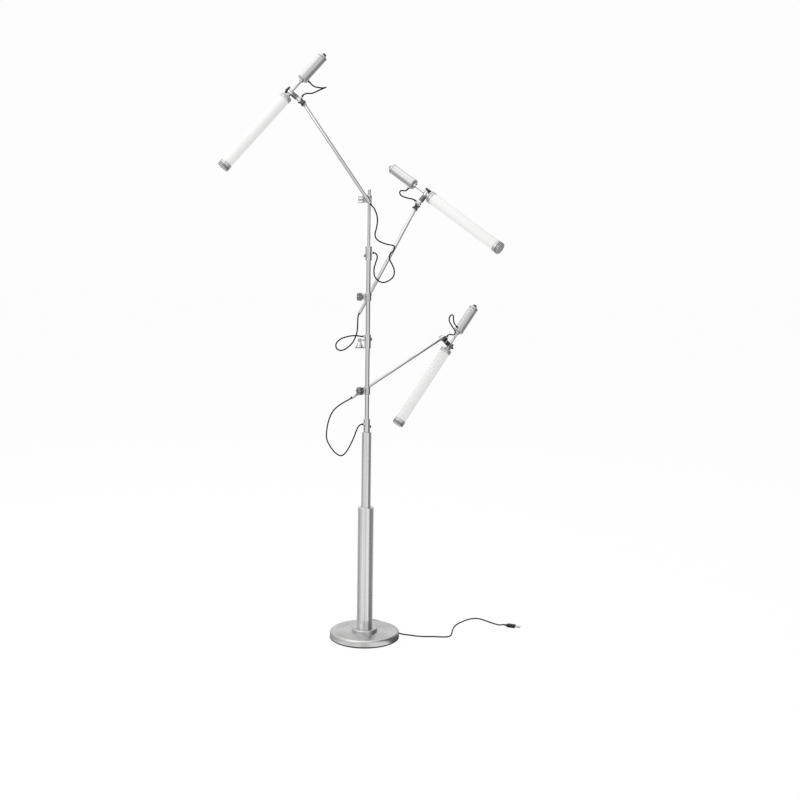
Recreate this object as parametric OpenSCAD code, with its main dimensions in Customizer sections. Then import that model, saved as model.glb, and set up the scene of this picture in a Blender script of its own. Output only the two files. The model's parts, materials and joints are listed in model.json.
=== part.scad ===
// Swing arm floor lamp with three tubular lamp heads, in millimetres.
// Origin on the floor under the middle of the base, Z up, the camera side is -Y.

/* [Base] */
// Diameter of the base disc
base_d = 228; // [200:1:280]
// Height of the base's top face above the floor
base_h = 25; // [22:0.5:40]
// Radius of the base's rounded upper edge
base_edge_r = 7; // [3:0.5:10]
// Wall of the base's brushed shell
shell_wall = 1.6; // [1:0.1:2.4]
// Thickness of the felt pad under the base
pad_h = 2; // [1:0.5:3]
// How far the pad stands in from the base's edge
pad_inset = 3; // [1:0.5:10]
// Diameter of the ring at the column's foot
foot_ring_d = 84; // [70:1:110]
// Height of the ring at the column's foot
foot_ring_h = 9; // [5:0.5:16]

/* [Columns] */
// Diameter of the lower column
lower_column_d = 52; // [44:0.5:60]
// Height of the lower column's top above the floor
lower_column_top = 439; // [300:1:520]
// Diameter of the middle column
middle_column_d = 31; // [24:0.5:36]
// Height of the middle column's top above the floor
middle_column_top = 686; // [640:1:700]
// Wall of both columns
column_wall = 1.8; // [1:0.1:3]
// Thickness of the end plates of both columns
column_cap_h = 4; // [3:0.5:8]

/* [Mast] */
// Diameter of the lower and middle mast tubes
mast_d = 14; // [13:0.1:15.5]
// Diameter of the upper mast tube
upper_mast_d = 9.6; // [9:0.1:12]
// Wall of the mast tubes
mast_wall = 1.5; // [1:0.1:2]
// Height of the mast's tip above the floor
mast_top = 1459; // [1445:1:1500]
// Diameter of the swivel collars
collar_d = 21; // [19:0.5:23]
// Height of the upper swivel collar
upper_collar_h = 44; // [38:1:50]
// Height of the middle swivel collar
middle_collar_h = 43; // [42:1:50]
// Height of the lower swivel collar
lower_collar_h = 42; // [38:1:50]
// How far each spigot reaches into the collar above it
spigot_h = 16; // [12:0.5:18]
// Thickness of the web inside each collar
collar_web = 3; // [2:0.5:5]
// Diameter of the lead's outlet boss on each collar
outlet_d = 8; // [7:0.1:9]
// How far the outlet boss stands out of the collar
outlet_len = 3; // [2:0.5:6]
// Underside of the upper collar above the floor
upper_collar_z = 1236; // [1225:1:1245]
// Underside of the middle collar above the floor
middle_collar_z = 957; // [945:1:965]

/* [Arms] */
// Length of each arm tube, from its tail to the head pivot
arm_len = 381; // [370:1:420]
// Diameter of the arm tubes
arm_d = 10.5; // [9.5:0.1:12]
// Wall of the arm tubes
arm_wall = 1.2; // [0.8:0.1:2]
// Distance from the mast's axis to each arm's axis
arm_offset = 25; // [24:0.5:32]
// Height of the upper arm's pivot above the floor
upper_pivot_z = 1427.5; // [1410:0.5:1432]
// Height of the middle arm's pivot above the floor
middle_pivot_z = 1121; // [1100:1:1140]
// Height of the lower arm's pivot above the floor
lower_pivot_z = 820.5; // [810:0.5:845]
// How far the upper arm's tail stands out behind its pivot
upper_tail = 17.5; // [15.5:0.5:24]
// How far the middle arm's tail stands out
middle_tail = 60; // [50:0.5:70]
// How far the lower arm's tail stands out
lower_tail = 48; // [40:0.5:60]
// Wall of the clamp blocks round the mast
clamp_wall = 3; // [2.5:0.25:5]
// Height of the clamp blocks
clamp_h = 26; // [22:1:34]
// Diameter of the clamps' pivot bosses and of the arms' sleeve bosses
pivot_boss_d = 16; // [14:0.5:18]
// Diameter of the arms' clamp sleeves
sleeve_d = 16; // [14.5:0.5:18]
// Length of the arms' clamp sleeves
sleeve_len = 24; // [20:1:30]
// Diameter of the clamps' pivot pins
clamp_pin_d = 9; // [7:0.5:11]
// Length of the clamps' pivot pins
clamp_pin_len = 3.4; // [2:0.1:4]
// Diameter over the lobes of the clamp knobs
clamp_knob_d = 28; // [24:0.5:32]
// Length of the clamp knobs
clamp_knob_len = 21; // [14:0.5:26]

/* [Lamp heads] */
// Diameter of the head pivots' screws and of the clamp knobs' threads
screw_d = 6; // [5:0.5:7]
// Diameter of the arms' end eyes
eye_d = 15; // [13:0.5:16]
// Width of the arms' end eyes
eye_w = 7; // [5:0.5:7.5]
// Diameter of the forks on the head swivels
fork_d = 16; // [15:0.5:18]
// Thickness of each fork cheek
cheek_w = 4.2; // [3:0.1:5]
// Length of the knurled sleeve on each head swivel
knurl_len = 22; // [14:0.5:26]
// Distance from the head pivot to the lamp's axis
cross_len = 52.5; // [48:0.5:60]
// Diameter of the crossbars that the lamps turn on
crossbar_d = 8; // [6:0.5:9]
// Diameter of the neck blocks
neck_block_d = 18; // [15:0.5:19]
// Width of the neck blocks along the crossbar
neck_block_w = 15; // [12:0.5:16]
// Diameter of the neck rods
neck_rod_d = 9; // [7:0.5:11]
// Length of the neck rods, from the crossbar's axis to the housing
neck_rod_len = 56; // [50:1:70]
// Diameter over the lobes of the neck and pivot knobs
star_knob_d = 26; // [22:0.5:27]
// Height of the neck and pivot knobs
star_knob_h = 8; // [6:0.5:12]
// Diameter of the lamp housings
housing_d = 31; // [28:0.5:34]
// Length of the lamp housings
housing_len = 101; // [80:1:130]
// Wall of the lamp housings
housing_wall = 1.5; // [1:0.1:2.5]
// Thickness of the housings' end plates
housing_cap_h = 4; // [3:0.5:6]
// Diameter of the dimmer knobs
dimmer_d = 13; // [10:0.5:16]
// Height of the dimmer knobs
dimmer_h = 8; // [5:0.5:12]
// Diameter of the dimmer shafts
dimmer_shaft_d = 6; // [4:0.5:7]
// Diameter of the glass tubes
glass_d = 35.5; // [33:0.5:40]
// Wall of the glass tubes
glass_wall = 1.6; // [1:0.1:2.5]
// Length of the glass tubes
glass_len = 292; // [260:1:320]
// Distance from the crossbar's axis to the glass holder
holder_z = 16; // [15:0.5:24]
// Height of the glass holders and of the end caps' sockets
socket_h = 10; // [8:0.5:16]
// Wall of the glass holders and of the end caps round the glass
socket_wall = 1.5; // [1:0.1:2.5]
// Height of the end caps
end_cap_h = 20; // [18:0.5:28]
// Diameter of the light cores inside the glass
core_d = 14; // [10:0.5:18]

/* [Pose in the photograph] */
// Heading of the upper arm, turned about the mast
upper_swing = 165; // [155:1:175]
// Heading of the middle arm
middle_swing = -1; // [-8:1:6]
// Heading of the lower arm
lower_swing = 27; // [20:1:36]
// Slope of the upper arm above level
upper_tilt = 54.5; // [50:0.5:57]
// Slope of the middle arm
middle_tilt = 62.5; // [60:0.5:64]
// Slope of the lower arm
lower_tilt = 29; // [27:0.5:34]
// Bend of the upper head at its pivot
upper_bend = -17; // [-20:0.5:0]
// Bend of the middle head
middle_bend = -9.5; // [-12:0.5:5]
// Bend of the lower head
lower_bend = -66.5; // [-72:0.5:-62]
// Turn of the upper lamp about its crossbar
upper_turn = 20.5; // [10:0.5:25]
// Turn of the middle lamp
middle_turn = -29; // [-34:0.5:-24]
// Turn of the lower lamp
lower_turn = -8.5; // [-12:0.5:0]
// Roll of the lower arm's end eye about the arm
lower_roll = 24.5; // [18:0.5:30]

/* [Leads and cord] */
// Diameter of the leads at the arms and heads, and of the mains cord
lead_d = 4.4; // [4:0.1:4.6]
// Spare gap between the strands of the stored mains cord
strand_gap = 0.8; // [0.7:0.05:1]
// Length of the straight runs of the stored hank
hank_run = 80; // [70:1:90]
// Number of turns in the hank's lower layer
hank_turns = 2; // [2:1:3]
// How far the hank's tie draws the runs in
hank_waist = 4; // [2:0.5:6]
// Width of the hank's tie
tie_w = 8; // [5:0.5:12]
// Thickness of the hank's tie
tie_t = 0.8; // [0.5:0.1:1.2]
// Length of the tapered strain relief outside the base
relief_len = 20; // [20:1:30]
// Length of the mains plug
plug_len = 38; // [30:1:50]
// Width of the mains plug
plug_w = 16; // [12:0.5:24]
// Thickness of the mains plug
plug_t = 11; // [9:0.5:14]
// Diameter of the plug's pins
pin_d = 4; // [3:0.1:5]
// Length of the plug's pins
pin_len = 17; // [12:0.5:20]

/* [Fits] */
// Clearance all round a shaft that turns in its bore
fit = 0.05; // [0.03:0.01:0.1]
// Gap between flat faces that turn on each other
face_gap = 0.3; // [0.2:0.05:0.5]

/* [Hidden] */
$fn = 48;
UPPER = 0;
MIDDLE = 1;
LOWER = 2;

// One value for each level, from the top down
swing = [upper_swing, middle_swing, lower_swing];
tilt = [upper_tilt, middle_tilt, lower_tilt];
bend = [upper_bend, middle_bend, lower_bend];
turn = [upper_turn, middle_turn, lower_turn];
roll = [0, 0, lower_roll];
pivot_z = [upper_pivot_z, middle_pivot_z, lower_pivot_z];
arm_tail = [upper_tail, middle_tail, lower_tail];
// From each arm's pivot to its head pivot
reach = [for (t = arm_tail) arm_len - t];
collar_h = [upper_collar_h, middle_collar_h, lower_collar_h];
tube_d = [upper_mast_d, mast_d, mast_d];

// Each collar stands on what is under it, and its web rests on the spigot there
collar_z = [upper_collar_z, middle_collar_z, middle_column_top + face_gap];
socket_z = [for (z = collar_z) z + spigot_h + face_gap + collar_web];
tube_top = [mast_top, collar_z[UPPER] + spigot_h, collar_z[MIDDLE] + spigot_h];
collar_bead_h = 3;
collar_bead = 1;
outlet_drop = [20, 5, 16];
outlet_z = [for (i = [UPPER, MIDDLE, LOWER]) collar_z[i] + collar_h[i] - outlet_drop[i]];

// The upper arm's knob stands on the arm's own side of the mast, the others opposite
knob_side = [1, -1, -1];
// The side of each eye that shows the pivot screw's knob
screw_side = [1, -1, -1];

clamp_d = [for (d = tube_d) d + 2 * clamp_wall];
clamp_face = [for (d = clamp_d) d / 2 + 1];
clamp_jaw_w = 11;
knob_root = [for (d = clamp_d) d / 2 + 5];
knob_neck_len = 2.5;
thread_gap = 0.5;
cone_screw_d = 5;
cone_r = 13.5;
cone_tip_r = 3.5;
cone_h = 22;
lug_h = 6;
lug_r = 6;
cone_x = collar_d / 2 + collar_bead + cone_r + 0.7;
lug_z = collar_z[MIDDLE] + cone_h + face_gap + 1;

tongue_len = 13;
fork_gap = face_gap;
cheek_in = eye_w / 2 + fork_gap;
cheek_out = cheek_in + cheek_w;
root_x = 10.5;
root_len = 7.5;
root_d = 17;
knurl_d = 16;
knurl_end = cross_len - neck_block_w / 2 - face_gap;
knurl_x = max(root_x + root_len, knurl_end - knurl_len);
inlet_x = root_x + root_len / 2;
inlet_z = 12.5;
neck_end = cross_len + neck_block_w / 2;
star_hub_d = 13;
star_washer_h = 1.2;
crossbar_end = neck_end + face_gap + star_washer_h + star_knob_h - 2;

housing_z = neck_rod_len;
housing_top = housing_z + housing_len;
housing_ring_d = housing_d + 3;
housing_ring_h = 5;
entry_z = housing_z + 8;
entry_x = housing_d / 2 + 3;
holder_plate = 4;
glass_z = -holder_z - holder_plate;
glass_end = glass_z - glass_len;
cap_z = glass_end + socket_h;
cap_floor = end_cap_h - socket_h;
socket_d = glass_d + 2 * socket_wall;
core_seat = 2;

// The mains cord's own sizes
cord_r = lead_d / 2;
strand_pitch = lead_d + strand_gap;
fold_r = 3 * lead_d;
hank_climb = 0.3;
hank_end = 2 * hank_turns + 0.9;
hank_floor_z = cord_r + tie_t;
hank_y = 222;
gland_x = fold_r + hank_turns * strand_pitch;
rim_y = sqrt(pow(base_d / 2, 2) - pow(gland_x, 2));
gland_d = 9;
gland_z = pad_h + gland_d / 2 + 0.5;
gland_in = 14;
relief_y = rim_y + relief_len;
plug_body_len = plug_len - 8;

// Small vector helpers
function unit(v) = v / norm(v);
function flat(lists) = [for (l = lists) for (e = l) e];
function turn_z(v, a) = [v.x * cos(a) - v.y * sin(a), v.x * sin(a) + v.y * cos(a), v.z];

// A smooth curve through points, with each stretch cut into steps
function spline_point(p, i, t) =
    let (a = p[max(i - 1, 0)], b = p[i], c = p[i + 1], d = p[min(i + 2, len(p) - 1)])
    0.5 * (2 * b + (c - a) * t + (2 * a - 5 * b + 4 * c - d) * t * t
        + (3 * b - a - 3 * c + d) * t * t * t);
function smooth(p, steps) = concat(
    [p[0]],
    [for (i = [0 : len(p) - 2], s = [1 : steps])
        i == 0 || i == len(p) - 2 ? p[i] + (p[i + 1] - p[i]) * s / steps : spline_point(p, i, s / steps)]
);

// The same line of a cord, lifted where it would go below the floor
function above_floor(line) = [for (p = line) [p.x, p.y, max(p.z, lead_d / 2)]];

// A round tube along a line of points, its ends cut square
function tangents(p) = [for (i = [0 : len(p) - 1])
    unit(p[min(i + 1, len(p) - 1)] - p[max(i - 1, 0)])];
function across(t) = unit(cross(t, abs(t.z) < 0.9 ? [0, 0, 1] : [1, 0, 0]));
function carried(t) = [for (i = 0, u = across(t[0]); i < len(t);
    i = i + 1, u = i < len(t) ? unit(u - (u * t[i]) * t[i]) : u) u];
module tube(p, d, sides) {
    t = tangents(p);
    u = carried(t);
    rings = [for (i = [0 : len(p) - 1], k = [0 : sides - 1])
        let (a = 360 * k / sides)
        p[i] + d / 2 * (cos(a) * u[i] + sin(a) * cross(t[i], u[i]))];
    last = (len(p) - 1) * sides;
    walls = [for (i = [0 : len(p) - 2], k = [0 : sides - 1], half = [0, 1])
        let (a = i * sides + k, b = i * sides + (k + 1) % sides)
        half == 0 ? [a, b, b + sides] : [a, b + sides, a + sides]];
    first_cap = [for (k = [0 : sides - 1]) sides - 1 - k];
    last_cap = [for (k = [0 : sides - 1]) last + k];
    polyhedron(rings, [for (f = concat([first_cap], walls, [last_cap])) [for (k = [len(f) - 1 : -1 : 0]) f[k]]]);
}

// Frames: a mast section, an arm at its pivot, a head at its pivot, a lamp at its crossbar
module on_mast(i) {
    rotate([0, 0, swing[i]]) children();
}
module on_arm(i) {
    on_mast(i) translate([0, arm_offset, pivot_z[i]]) rotate([0, -tilt[i], 0]) children();
}
module on_head(i) {
    on_arm(i) translate([reach[i], 0, 0]) rotate([roll[i], 0, 0]) rotate([0, -bend[i], 0]) children();
}
module on_lamp(i) {
    on_head(i) translate([cross_len, 0, 0]) rotate([turn[i], 0, 0]) children();
}

// Cylinders along X and Y, from one face to the other
module along_x(d, from, to) {
    translate([from, 0, 0]) rotate([0, 90, 0]) cylinder(d = d, h = to - from);
}
module along_y(d, from, to) {
    translate([0, from, 0]) rotate([-90, 0, 0]) cylinder(d = d, h = to - from);
}
module pipe(d, wall, h) {
    difference() {
        cylinder(d = d, h = h);
        translate([0, 0, -1]) cylinder(d = d - 2 * wall, h = h + 2);
    }
}
// A knob with lobes round a hub, standing on z = 0
module lobed_knob(d, lobe_d, lobes, h) {
    cylinder(d = d - lobe_d, h = h);
    for (k = [0 : lobes - 1]) rotate(k * 360 / lobes) translate([(d - lobe_d) / 2, 0, 0])
        cylinder(d = lobe_d, h = h);
}
// A knob with four short arms, standing on z = 0
module star_knob() {
    arm_w = 7;
    cylinder(d = star_hub_d, h = star_knob_h);
    for (a = [0 : 90 : 270]) rotate(a) {
        translate([0, -arm_w / 2, 0]) cube([(star_knob_d - arm_w) / 2, arm_w, star_knob_h - 1]);
        translate([(star_knob_d - arm_w) / 2, 0, 0]) cylinder(d = arm_w, h = star_knob_h - 1);
    }
}

// Base and columns
module foot_pad() {
    color("dimgray") cylinder(d = base_d - 2 * pad_inset, h = pad_h);
}

module base_weight() {
    channel_w = gland_d + 2;
    color("darkslategray") translate([0, 0, pad_h]) difference() {
        cylinder(d = base_d - 2 * shell_wall - 2 * base_edge_r, h = base_h - pad_h - shell_wall);
        translate([0, 0, -1]) cylinder(d = channel_w, h = base_h);
        translate([gland_x - channel_w / 2, 0, -1]) cube([channel_w, base_d, gland_z + gland_d / 2 - pad_h + 2]);
        translate([0, -channel_w / 2, -1]) cube([gland_x, channel_w, gland_z + gland_d / 2 - pad_h + 2]);
    }
}

module dome_outline(r, h, edge) {
    polygon(concat([[0, 0], [r, 0]], [for (a = [0 : 10 : 90]) [r - edge + edge * cos(a), h - edge + edge * sin(a)]],
        [[0, h]]));
}

module base_shell() {
    wire_hole = 12;
    color("silver") translate([0, 0, pad_h]) difference() {
        rotate_extrude() difference() {
            dome_outline(base_d / 2, base_h - pad_h, base_edge_r);
            translate([0, -0.01]) dome_outline(base_d / 2 - shell_wall, base_h - pad_h - shell_wall + 0.01,
                base_edge_r - shell_wall);
        }
        cylinder(d = wire_hole, h = base_h);
        translate([gland_x, 0, gland_z - pad_h]) along_y(gland_d, base_d / 4, base_d);
    }
}

module foot_ring() {
    edge = 4;
    color("lightgray") translate([0, 0, base_h]) difference() {
        rotate_extrude() dome_outline(foot_ring_d / 2, foot_ring_h, edge);
        translate([0, 0, -1]) cylinder(d = lower_column_d, h = foot_ring_h + 2);
    }
}

module lower_column() {
    rim = 1;
    color("silver") translate([0, 0, base_h]) difference() {
        union() {
            pipe(lower_column_d, column_wall, lower_column_top - base_h);
            translate([0, 0, lower_column_top - base_h - column_cap_h - rim])
                cylinder(d = lower_column_d - column_wall, h = column_cap_h);
        }
        translate([0, 0, -1]) cylinder(d = middle_column_d, h = lower_column_top);
    }
}

module middle_column() {
    h = middle_column_top - base_h;
    color("silver") translate([0, 0, base_h]) difference() {
        union() {
            pipe(middle_column_d, column_wall, h);
            translate([0, 0, h - column_cap_h]) cylinder(d = middle_column_d - column_wall, h = column_cap_h);
            translate([0, 0, h - 1]) cylinder(d = mast_d, h = face_gap + spigot_h + 1);
        }
        translate([0, 0, h - column_cap_h - 1])
            cylinder(d = mast_d - 2 * mast_wall, h = column_cap_h + spigot_h + 4);
    }
}

// Mast sections
module swivel_collar(i) {
    lead_side = -1;
    color("gainsboro") on_mast(i) translate([0, 0, collar_z[i]]) difference() {
        union() {
            cylinder(d = collar_d, h = collar_h[i]);
            translate([0, 0, collar_h[i] - collar_bead_h])
                cylinder(d = collar_d + 2 * collar_bead, h = collar_bead_h);
            translate([0, 0, outlet_z[i] - collar_z[i]]) along_x(outlet_d, -collar_d / 2 - outlet_len, 0);
            translate([0, 0, outlet_z[i] - collar_z[i] - 9]) along_x(outlet_d + 1, 0, collar_d / 2 + 3.5);
            if (i == MIDDLE) translate([0, 0, lug_z - collar_z[i]]) {
                translate([-cone_x, 0, 0]) cylinder(r = lug_r, h = lug_h);
                translate([-cone_x, -lug_r / 2, 0]) cube([cone_x, lug_r, lug_h]);
            }
        }
        translate([0, 0, -1]) cylinder(d = mast_d + 2 * fit, h = spigot_h + face_gap + 1);
        cylinder(d = upper_mast_d - 2 * mast_wall, h = collar_h[i]);
        translate([0, 0, socket_z[i] - collar_z[i]]) cylinder(d = tube_d[i], h = collar_h[i]);
        if (i == MIDDLE) translate([-cone_x, 0, 0]) cylinder(d = cone_screw_d + 2 * fit, h = collar_h[i] + 9);
    }
}

module middle_collar_screw() {
    head_d = 8;
    head_h = 2.5;
    color("gainsboro") on_mast(MIDDLE) translate([-cone_x, 0, lug_z - face_gap - cone_h]) {
        cylinder(r1 = cone_r, r2 = cone_tip_r, h = cone_h);
        cylinder(d = cone_screw_d, h = cone_h + lug_h + 2 * face_gap + 1);
        translate([0, 0, cone_h + lug_h + 2 * face_gap]) cylinder(d = head_d, h = head_h);
    }
}

module mast_tube(i) {
    tip_h = 3;
    color("lightgray") on_mast(i) translate([0, 0, socket_z[i]]) {
        pipe(tube_d[i], mast_wall, tube_top[i] - socket_z[i] - (i == UPPER ? tip_h : 0));
        if (i == UPPER) translate([0, 0, tube_top[i] - socket_z[i] - tip_h])
            cylinder(d1 = tube_d[i], d2 = tube_d[i] - 3, h = tip_h);
    }
}

module mast_clamp(i) {
    chamfer = 1.5;
    edge_d = clamp_d[i] - 2 * chamfer;
    color("silver") on_mast(i) translate([0, 0, pivot_z[i]]) difference() {
        union() {
            translate([0, 0, -clamp_h / 2 + chamfer]) cylinder(d = clamp_d[i], h = clamp_h - 2 * chamfer);
            translate([0, 0, clamp_h / 2 - chamfer]) cylinder(d1 = clamp_d[i], d2 = edge_d, h = chamfer);
            translate([0, 0, -clamp_h / 2]) cylinder(d1 = edge_d, d2 = clamp_d[i], h = chamfer);
            along_y(pivot_boss_d, 0, clamp_face[i]);
            along_y(clamp_pin_d, 0, clamp_face[i] + clamp_pin_len);
            mirror([knob_side[i] > 0 ? 0 : 1, 0, 0]) translate([0, -clamp_jaw_w / 2, -clamp_h / 2 + chamfer])
                cube([knob_root[i], clamp_jaw_w, clamp_h - 2 * chamfer]);
        }
        translate([0, 0, -clamp_h]) cylinder(d = tube_d[i], h = 2 * clamp_h);
        mirror([knob_side[i] > 0 ? 0 : 1, 0, 0]) along_x(screw_d + 2 * fit, 0, clamp_d[i]);
    }
}

module clamp_knob(i) {
    lobe_d = 8;
    washer_d = 14;
    start = tube_d[i] / 2 + thread_gap;
    root = knob_root[i] + face_gap;
    color("dimgray") on_mast(i) translate([0, 0, pivot_z[i]]) mirror([knob_side[i] > 0 ? 0 : 1, 0, 0]) {
        along_x(screw_d, start, root + knob_neck_len);
        along_x(washer_d, root, root + knob_neck_len);
        translate([root + knob_neck_len, 0, 0]) rotate([0, 90, 0])
            lobed_knob(clamp_knob_d, lobe_d, 6, clamp_knob_len - knob_neck_len);
    }
}

// Arms
module arm_tube(i) {
    tube_end = reach[i] - 12;
    boss_face = clamp_face[i] + face_gap - arm_offset;
    color("gainsboro") on_arm(i) difference() {
        union() {
            along_x(arm_d, -arm_tail[i], tube_end);
            along_x(sleeve_d, -sleeve_len / 2, sleeve_len / 2);
            along_y(pivot_boss_d, boss_face, 0);
            translate([reach[i], 0, 0]) rotate([roll[i], 0, 0]) {
                translate([-tongue_len, -eye_w / 2, -5.5]) cube([tongue_len, eye_w, 11]);
                along_y(eye_d, -eye_w / 2, eye_w / 2);
            }
        }
        along_x(arm_d - 2 * arm_wall, -arm_tail[i] - 1, tube_end - 3);
        along_y(clamp_pin_d + 2 * fit, boss_face - 1, boss_face + clamp_pin_len);
        translate([reach[i], 0, 0]) rotate([roll[i], 0, 0]) along_y(screw_d + 2 * fit, -eye_w, eye_w);
    }
}

// Lamp heads
module head_swivel(i) {
    color("lightgray") on_head(i) difference() {
        union() {
            for (side = [-1, 1]) mirror([0, side > 0 ? 0 : 1, 0]) {
                along_y(fork_d, cheek_in, cheek_out);
                translate([0, cheek_in, -fork_d / 2]) cube([root_x + 1.5, cheek_w, fork_d]);
            }
            along_x(root_d, root_x, root_x + root_len);
            along_x(crossbar_d + 4, root_x, knurl_end);
            along_x(knurl_d, knurl_x, knurl_end);
            along_x(crossbar_d, root_x, crossbar_end);
            translate([inlet_x, 0, 0]) cylinder(d = outlet_d - 1, h = inlet_z);
        }
        along_y(screw_d + 2 * fit, -2 * cheek_out, 2 * cheek_out);
    }
}

module pivot_screw(i) {
    nut_h = 1.4;
    color("dimgray") on_head(i) mirror([0, screw_side[i] > 0 ? 0 : 1, 0]) {
        along_y(screw_d, -cheek_out - face_gap - nut_h, cheek_out + face_gap + 1);
        along_y(9, -cheek_out - face_gap - nut_h, -cheek_out - face_gap);
        along_y(10, cheek_out + face_gap, cheek_out + face_gap + star_washer_h);
        translate([0, cheek_out + face_gap + star_washer_h, 0]) rotate([-90, 0, 0]) rotate(45) star_knob();
    }
}

module lamp_neck(i) {
    color("lightgray") on_lamp(i) difference() {
        union() {
            along_x(neck_block_d, -neck_block_w / 2, neck_block_w / 2);
            cylinder(d = neck_rod_d, h = housing_z + housing_cap_h);
            translate([0, 0, -holder_z]) cylinder(d = neck_block_w - 1, h = holder_z);
            translate([0, 0, -holder_z - holder_plate - socket_h]) cylinder(d = socket_d, h = holder_plate + socket_h);
        }
        along_x(crossbar_d + 2 * fit, -neck_block_w, neck_block_w);
        translate([0, 0, glass_z - socket_h - 1]) cylinder(d = glass_d, h = socket_h + 1);
        translate([0, 0, glass_z - 1]) cylinder(d = core_d, h = core_seat + 1);
    }
}

module neck_knob(i) {
    base = neck_end + face_gap;
    color("dimgray") on_head(i) difference() {
        union() {
            along_x(14, base, base + star_washer_h);
            translate([base + star_washer_h, 0, 0]) rotate([0, 90, 0]) star_knob();
        }
        along_x(crossbar_d + 2 * fit, base - 1, crossbar_end + face_gap);
    }
}

module lamp_housing(i) {
    color("silver") on_lamp(i) difference() {
        union() {
            translate([0, 0, housing_z]) cylinder(d = housing_d, h = housing_len);
            translate([0, 0, housing_z]) cylinder(d = housing_ring_d, h = housing_ring_h);
            translate([0, 0, entry_z]) along_x(outlet_d - 1, -entry_x, 0);
        }
        translate([0, 0, housing_z + housing_cap_h])
            cylinder(d = housing_d - 2 * housing_wall, h = housing_len - 2 * housing_cap_h);
        translate([0, 0, housing_z - 1]) cylinder(d = neck_rod_d, h = housing_cap_h + 2);
        translate([0, 0, housing_top - housing_cap_h - 1])
            cylinder(d = dimmer_shaft_d + 2 * fit, h = housing_cap_h + 2);
    }
}

module dimmer_knob(i) {
    shaft_in = 6;
    color("dimgray") on_lamp(i) translate([0, 0, housing_top + face_gap]) {
        cylinder(d = dimmer_d, h = dimmer_h - 1);
        translate([0, 0, dimmer_h - 1]) cylinder(d1 = dimmer_d, d2 = dimmer_d - 2, h = 1);
        translate([0, 0, -housing_cap_h - shaft_in]) cylinder(d = dimmer_shaft_d, h = housing_cap_h + shaft_in + 1);
        translate([0, 0, -housing_cap_h - shaft_in]) cylinder(d = dimmer_shaft_d + 3, h = shaft_in - 2 * face_gap);
    }
}

module lamp_glass(i) {
    color("white") on_lamp(i) translate([0, 0, glass_end]) pipe(glass_d, glass_wall, glass_len);
}

module light_core(i) {
    color("whitesmoke") on_lamp(i) translate([0, 0, glass_end - core_seat])
        cylinder(d = core_d, h = glass_len + 2 * core_seat);
}

module end_cap(i) {
    groove = 0.8;
    color("lightgray") on_lamp(i) translate([0, 0, cap_z - end_cap_h]) difference() {
        cylinder(d = socket_d, h = end_cap_h);
        translate([0, 0, cap_floor]) cylinder(d = glass_d, h = end_cap_h);
        translate([0, 0, cap_floor - core_seat]) cylinder(d = core_d, h = core_seat + 1);
        for (z = [cap_floor - 6, cap_floor - 2]) translate([0, 0, z]) difference() {
            cylinder(d = socket_d + 2, h = 1.6);
            translate([0, 0, -1]) cylinder(d = socket_d - 2 * groove, h = 4);
        }
    }
}

// Leads, each drawn in the frame of the piece that it starts from
tail_dirs = [for (a = tilt) [-cos(a), 0, -sin(a)]];
tail_ends = [for (i = [UPPER, MIDDLE, LOWER])
    [0, arm_offset, pivot_z[i]] + arm_tail[i] * tail_dirs[i]];
outlet_ends = [for (i = [UPPER, MIDDLE, LOWER]) [-collar_d / 2 - outlet_len, 0, outlet_z[i]]];
arm_lead_middles = [
    [
        [-23, 23, 1397], [-30, 19, 1378], [-32, 17, 1361], [-29, 17, 1338], [-25, 17, 1322],
        [-26, 16, 1309], [-34, 13, 1299], [-47, 8, 1292], [-63, 3, 1287], [-76, -2, 1285],
        [-83, -4, 1280], [-80, -4, 1270], [-71, -2, 1258], [-67, -2, 1246], [-71, -3, 1234],
        [-77, -5, 1222], [-82, -7, 1208], [-82, -7, 1194], [-77, -6, 1183], [-66, -4, 1174],
        [-52, -1, 1168], [-38, 2, 1170], [-28, 4, 1178], [-21, 5, 1189], [-19, 4, 1202],
        [-20, 3, 1216], [-24, 2, 1230], [-28, 1, 1243], [-27, 0, 1253]
    ],
    [
        [-33, 24, 1051], [-33, 23, 1038], [-34, 22, 1014], [-38, 20, 996], [-47, 18, 976],
        [-58, 16, 963], [-73, 14, 952], [-88, 12, 948], [-99, 10, 954], [-102, 8, 964], [-98, 7, 975],
        [-85, 5, 986], [-70, 4, 992], [-53, 2, 996], [-36, 1, 997]
    ],
    [
        [-56, 25, 790], [-67, 25, 785], [-83, 27, 776], [-101, 30, 762], [-114, 32, 742], [-122, 34, 717],
        [-126, 35, 692], [-126, 35, 669], [-119, 33, 650], [-106, 28, 629], [-93, 25, 616],
        [-80, 22, 611], [-68, 19, 618], [-54, 15, 640], [-42, 11, 667], [-34, 7, 691], [-28, 3, 706]
    ]
];
head_lead_middles = [
    [
        [10, -1, 27], [4, -4, 33], [-3, -8, 39], [-8, -12, 48], [-13, -14, 58], [-18, -15, 67],
        [-22, -18, 75], [-22, -27, 79], [-18, -34, 76], [-11, -36, 70], [-3, -34, 65], [6, -30, 60],
        [14, -26, 58], [21, -23, 59]
    ],
    [[12, 4, 27], [8, 11, 35], [5, 19, 43], [2, 27, 52], [1, 34, 62], [6, 39, 70], [13, 38, 70], [18, 35, 63], [22, 32, 58]],
    [
        [19, 1, 26], [28, 3, 30], [37, 4, 34], [42, 5, 40], [39, 6, 47], [29, 7, 50], [17, 8, 51],
        [4, 8, 53], [-10, 8, 55], [-22, 9, 60], [-28, 10, 69], [-24, 11, 78], [-15, 11, 79],
        [-4, 11, 72], [7, 10, 66], [18, 10, 64]
    ]
];

module arm_lead(i) {
    // Straight out of the arm's tail, round its slack loop and straight into the collar
    straight = 1.6 * lead_d;
    color("black") on_mast(i) tube(smooth(concat(
        [tail_ends[i], tail_ends[i] + straight * tail_dirs[i]],
        arm_lead_middles[i],
        [outlet_ends[i] - [straight, 0, 0], outlet_ends[i]]
    ), 2), lead_d, 8);
}

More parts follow.
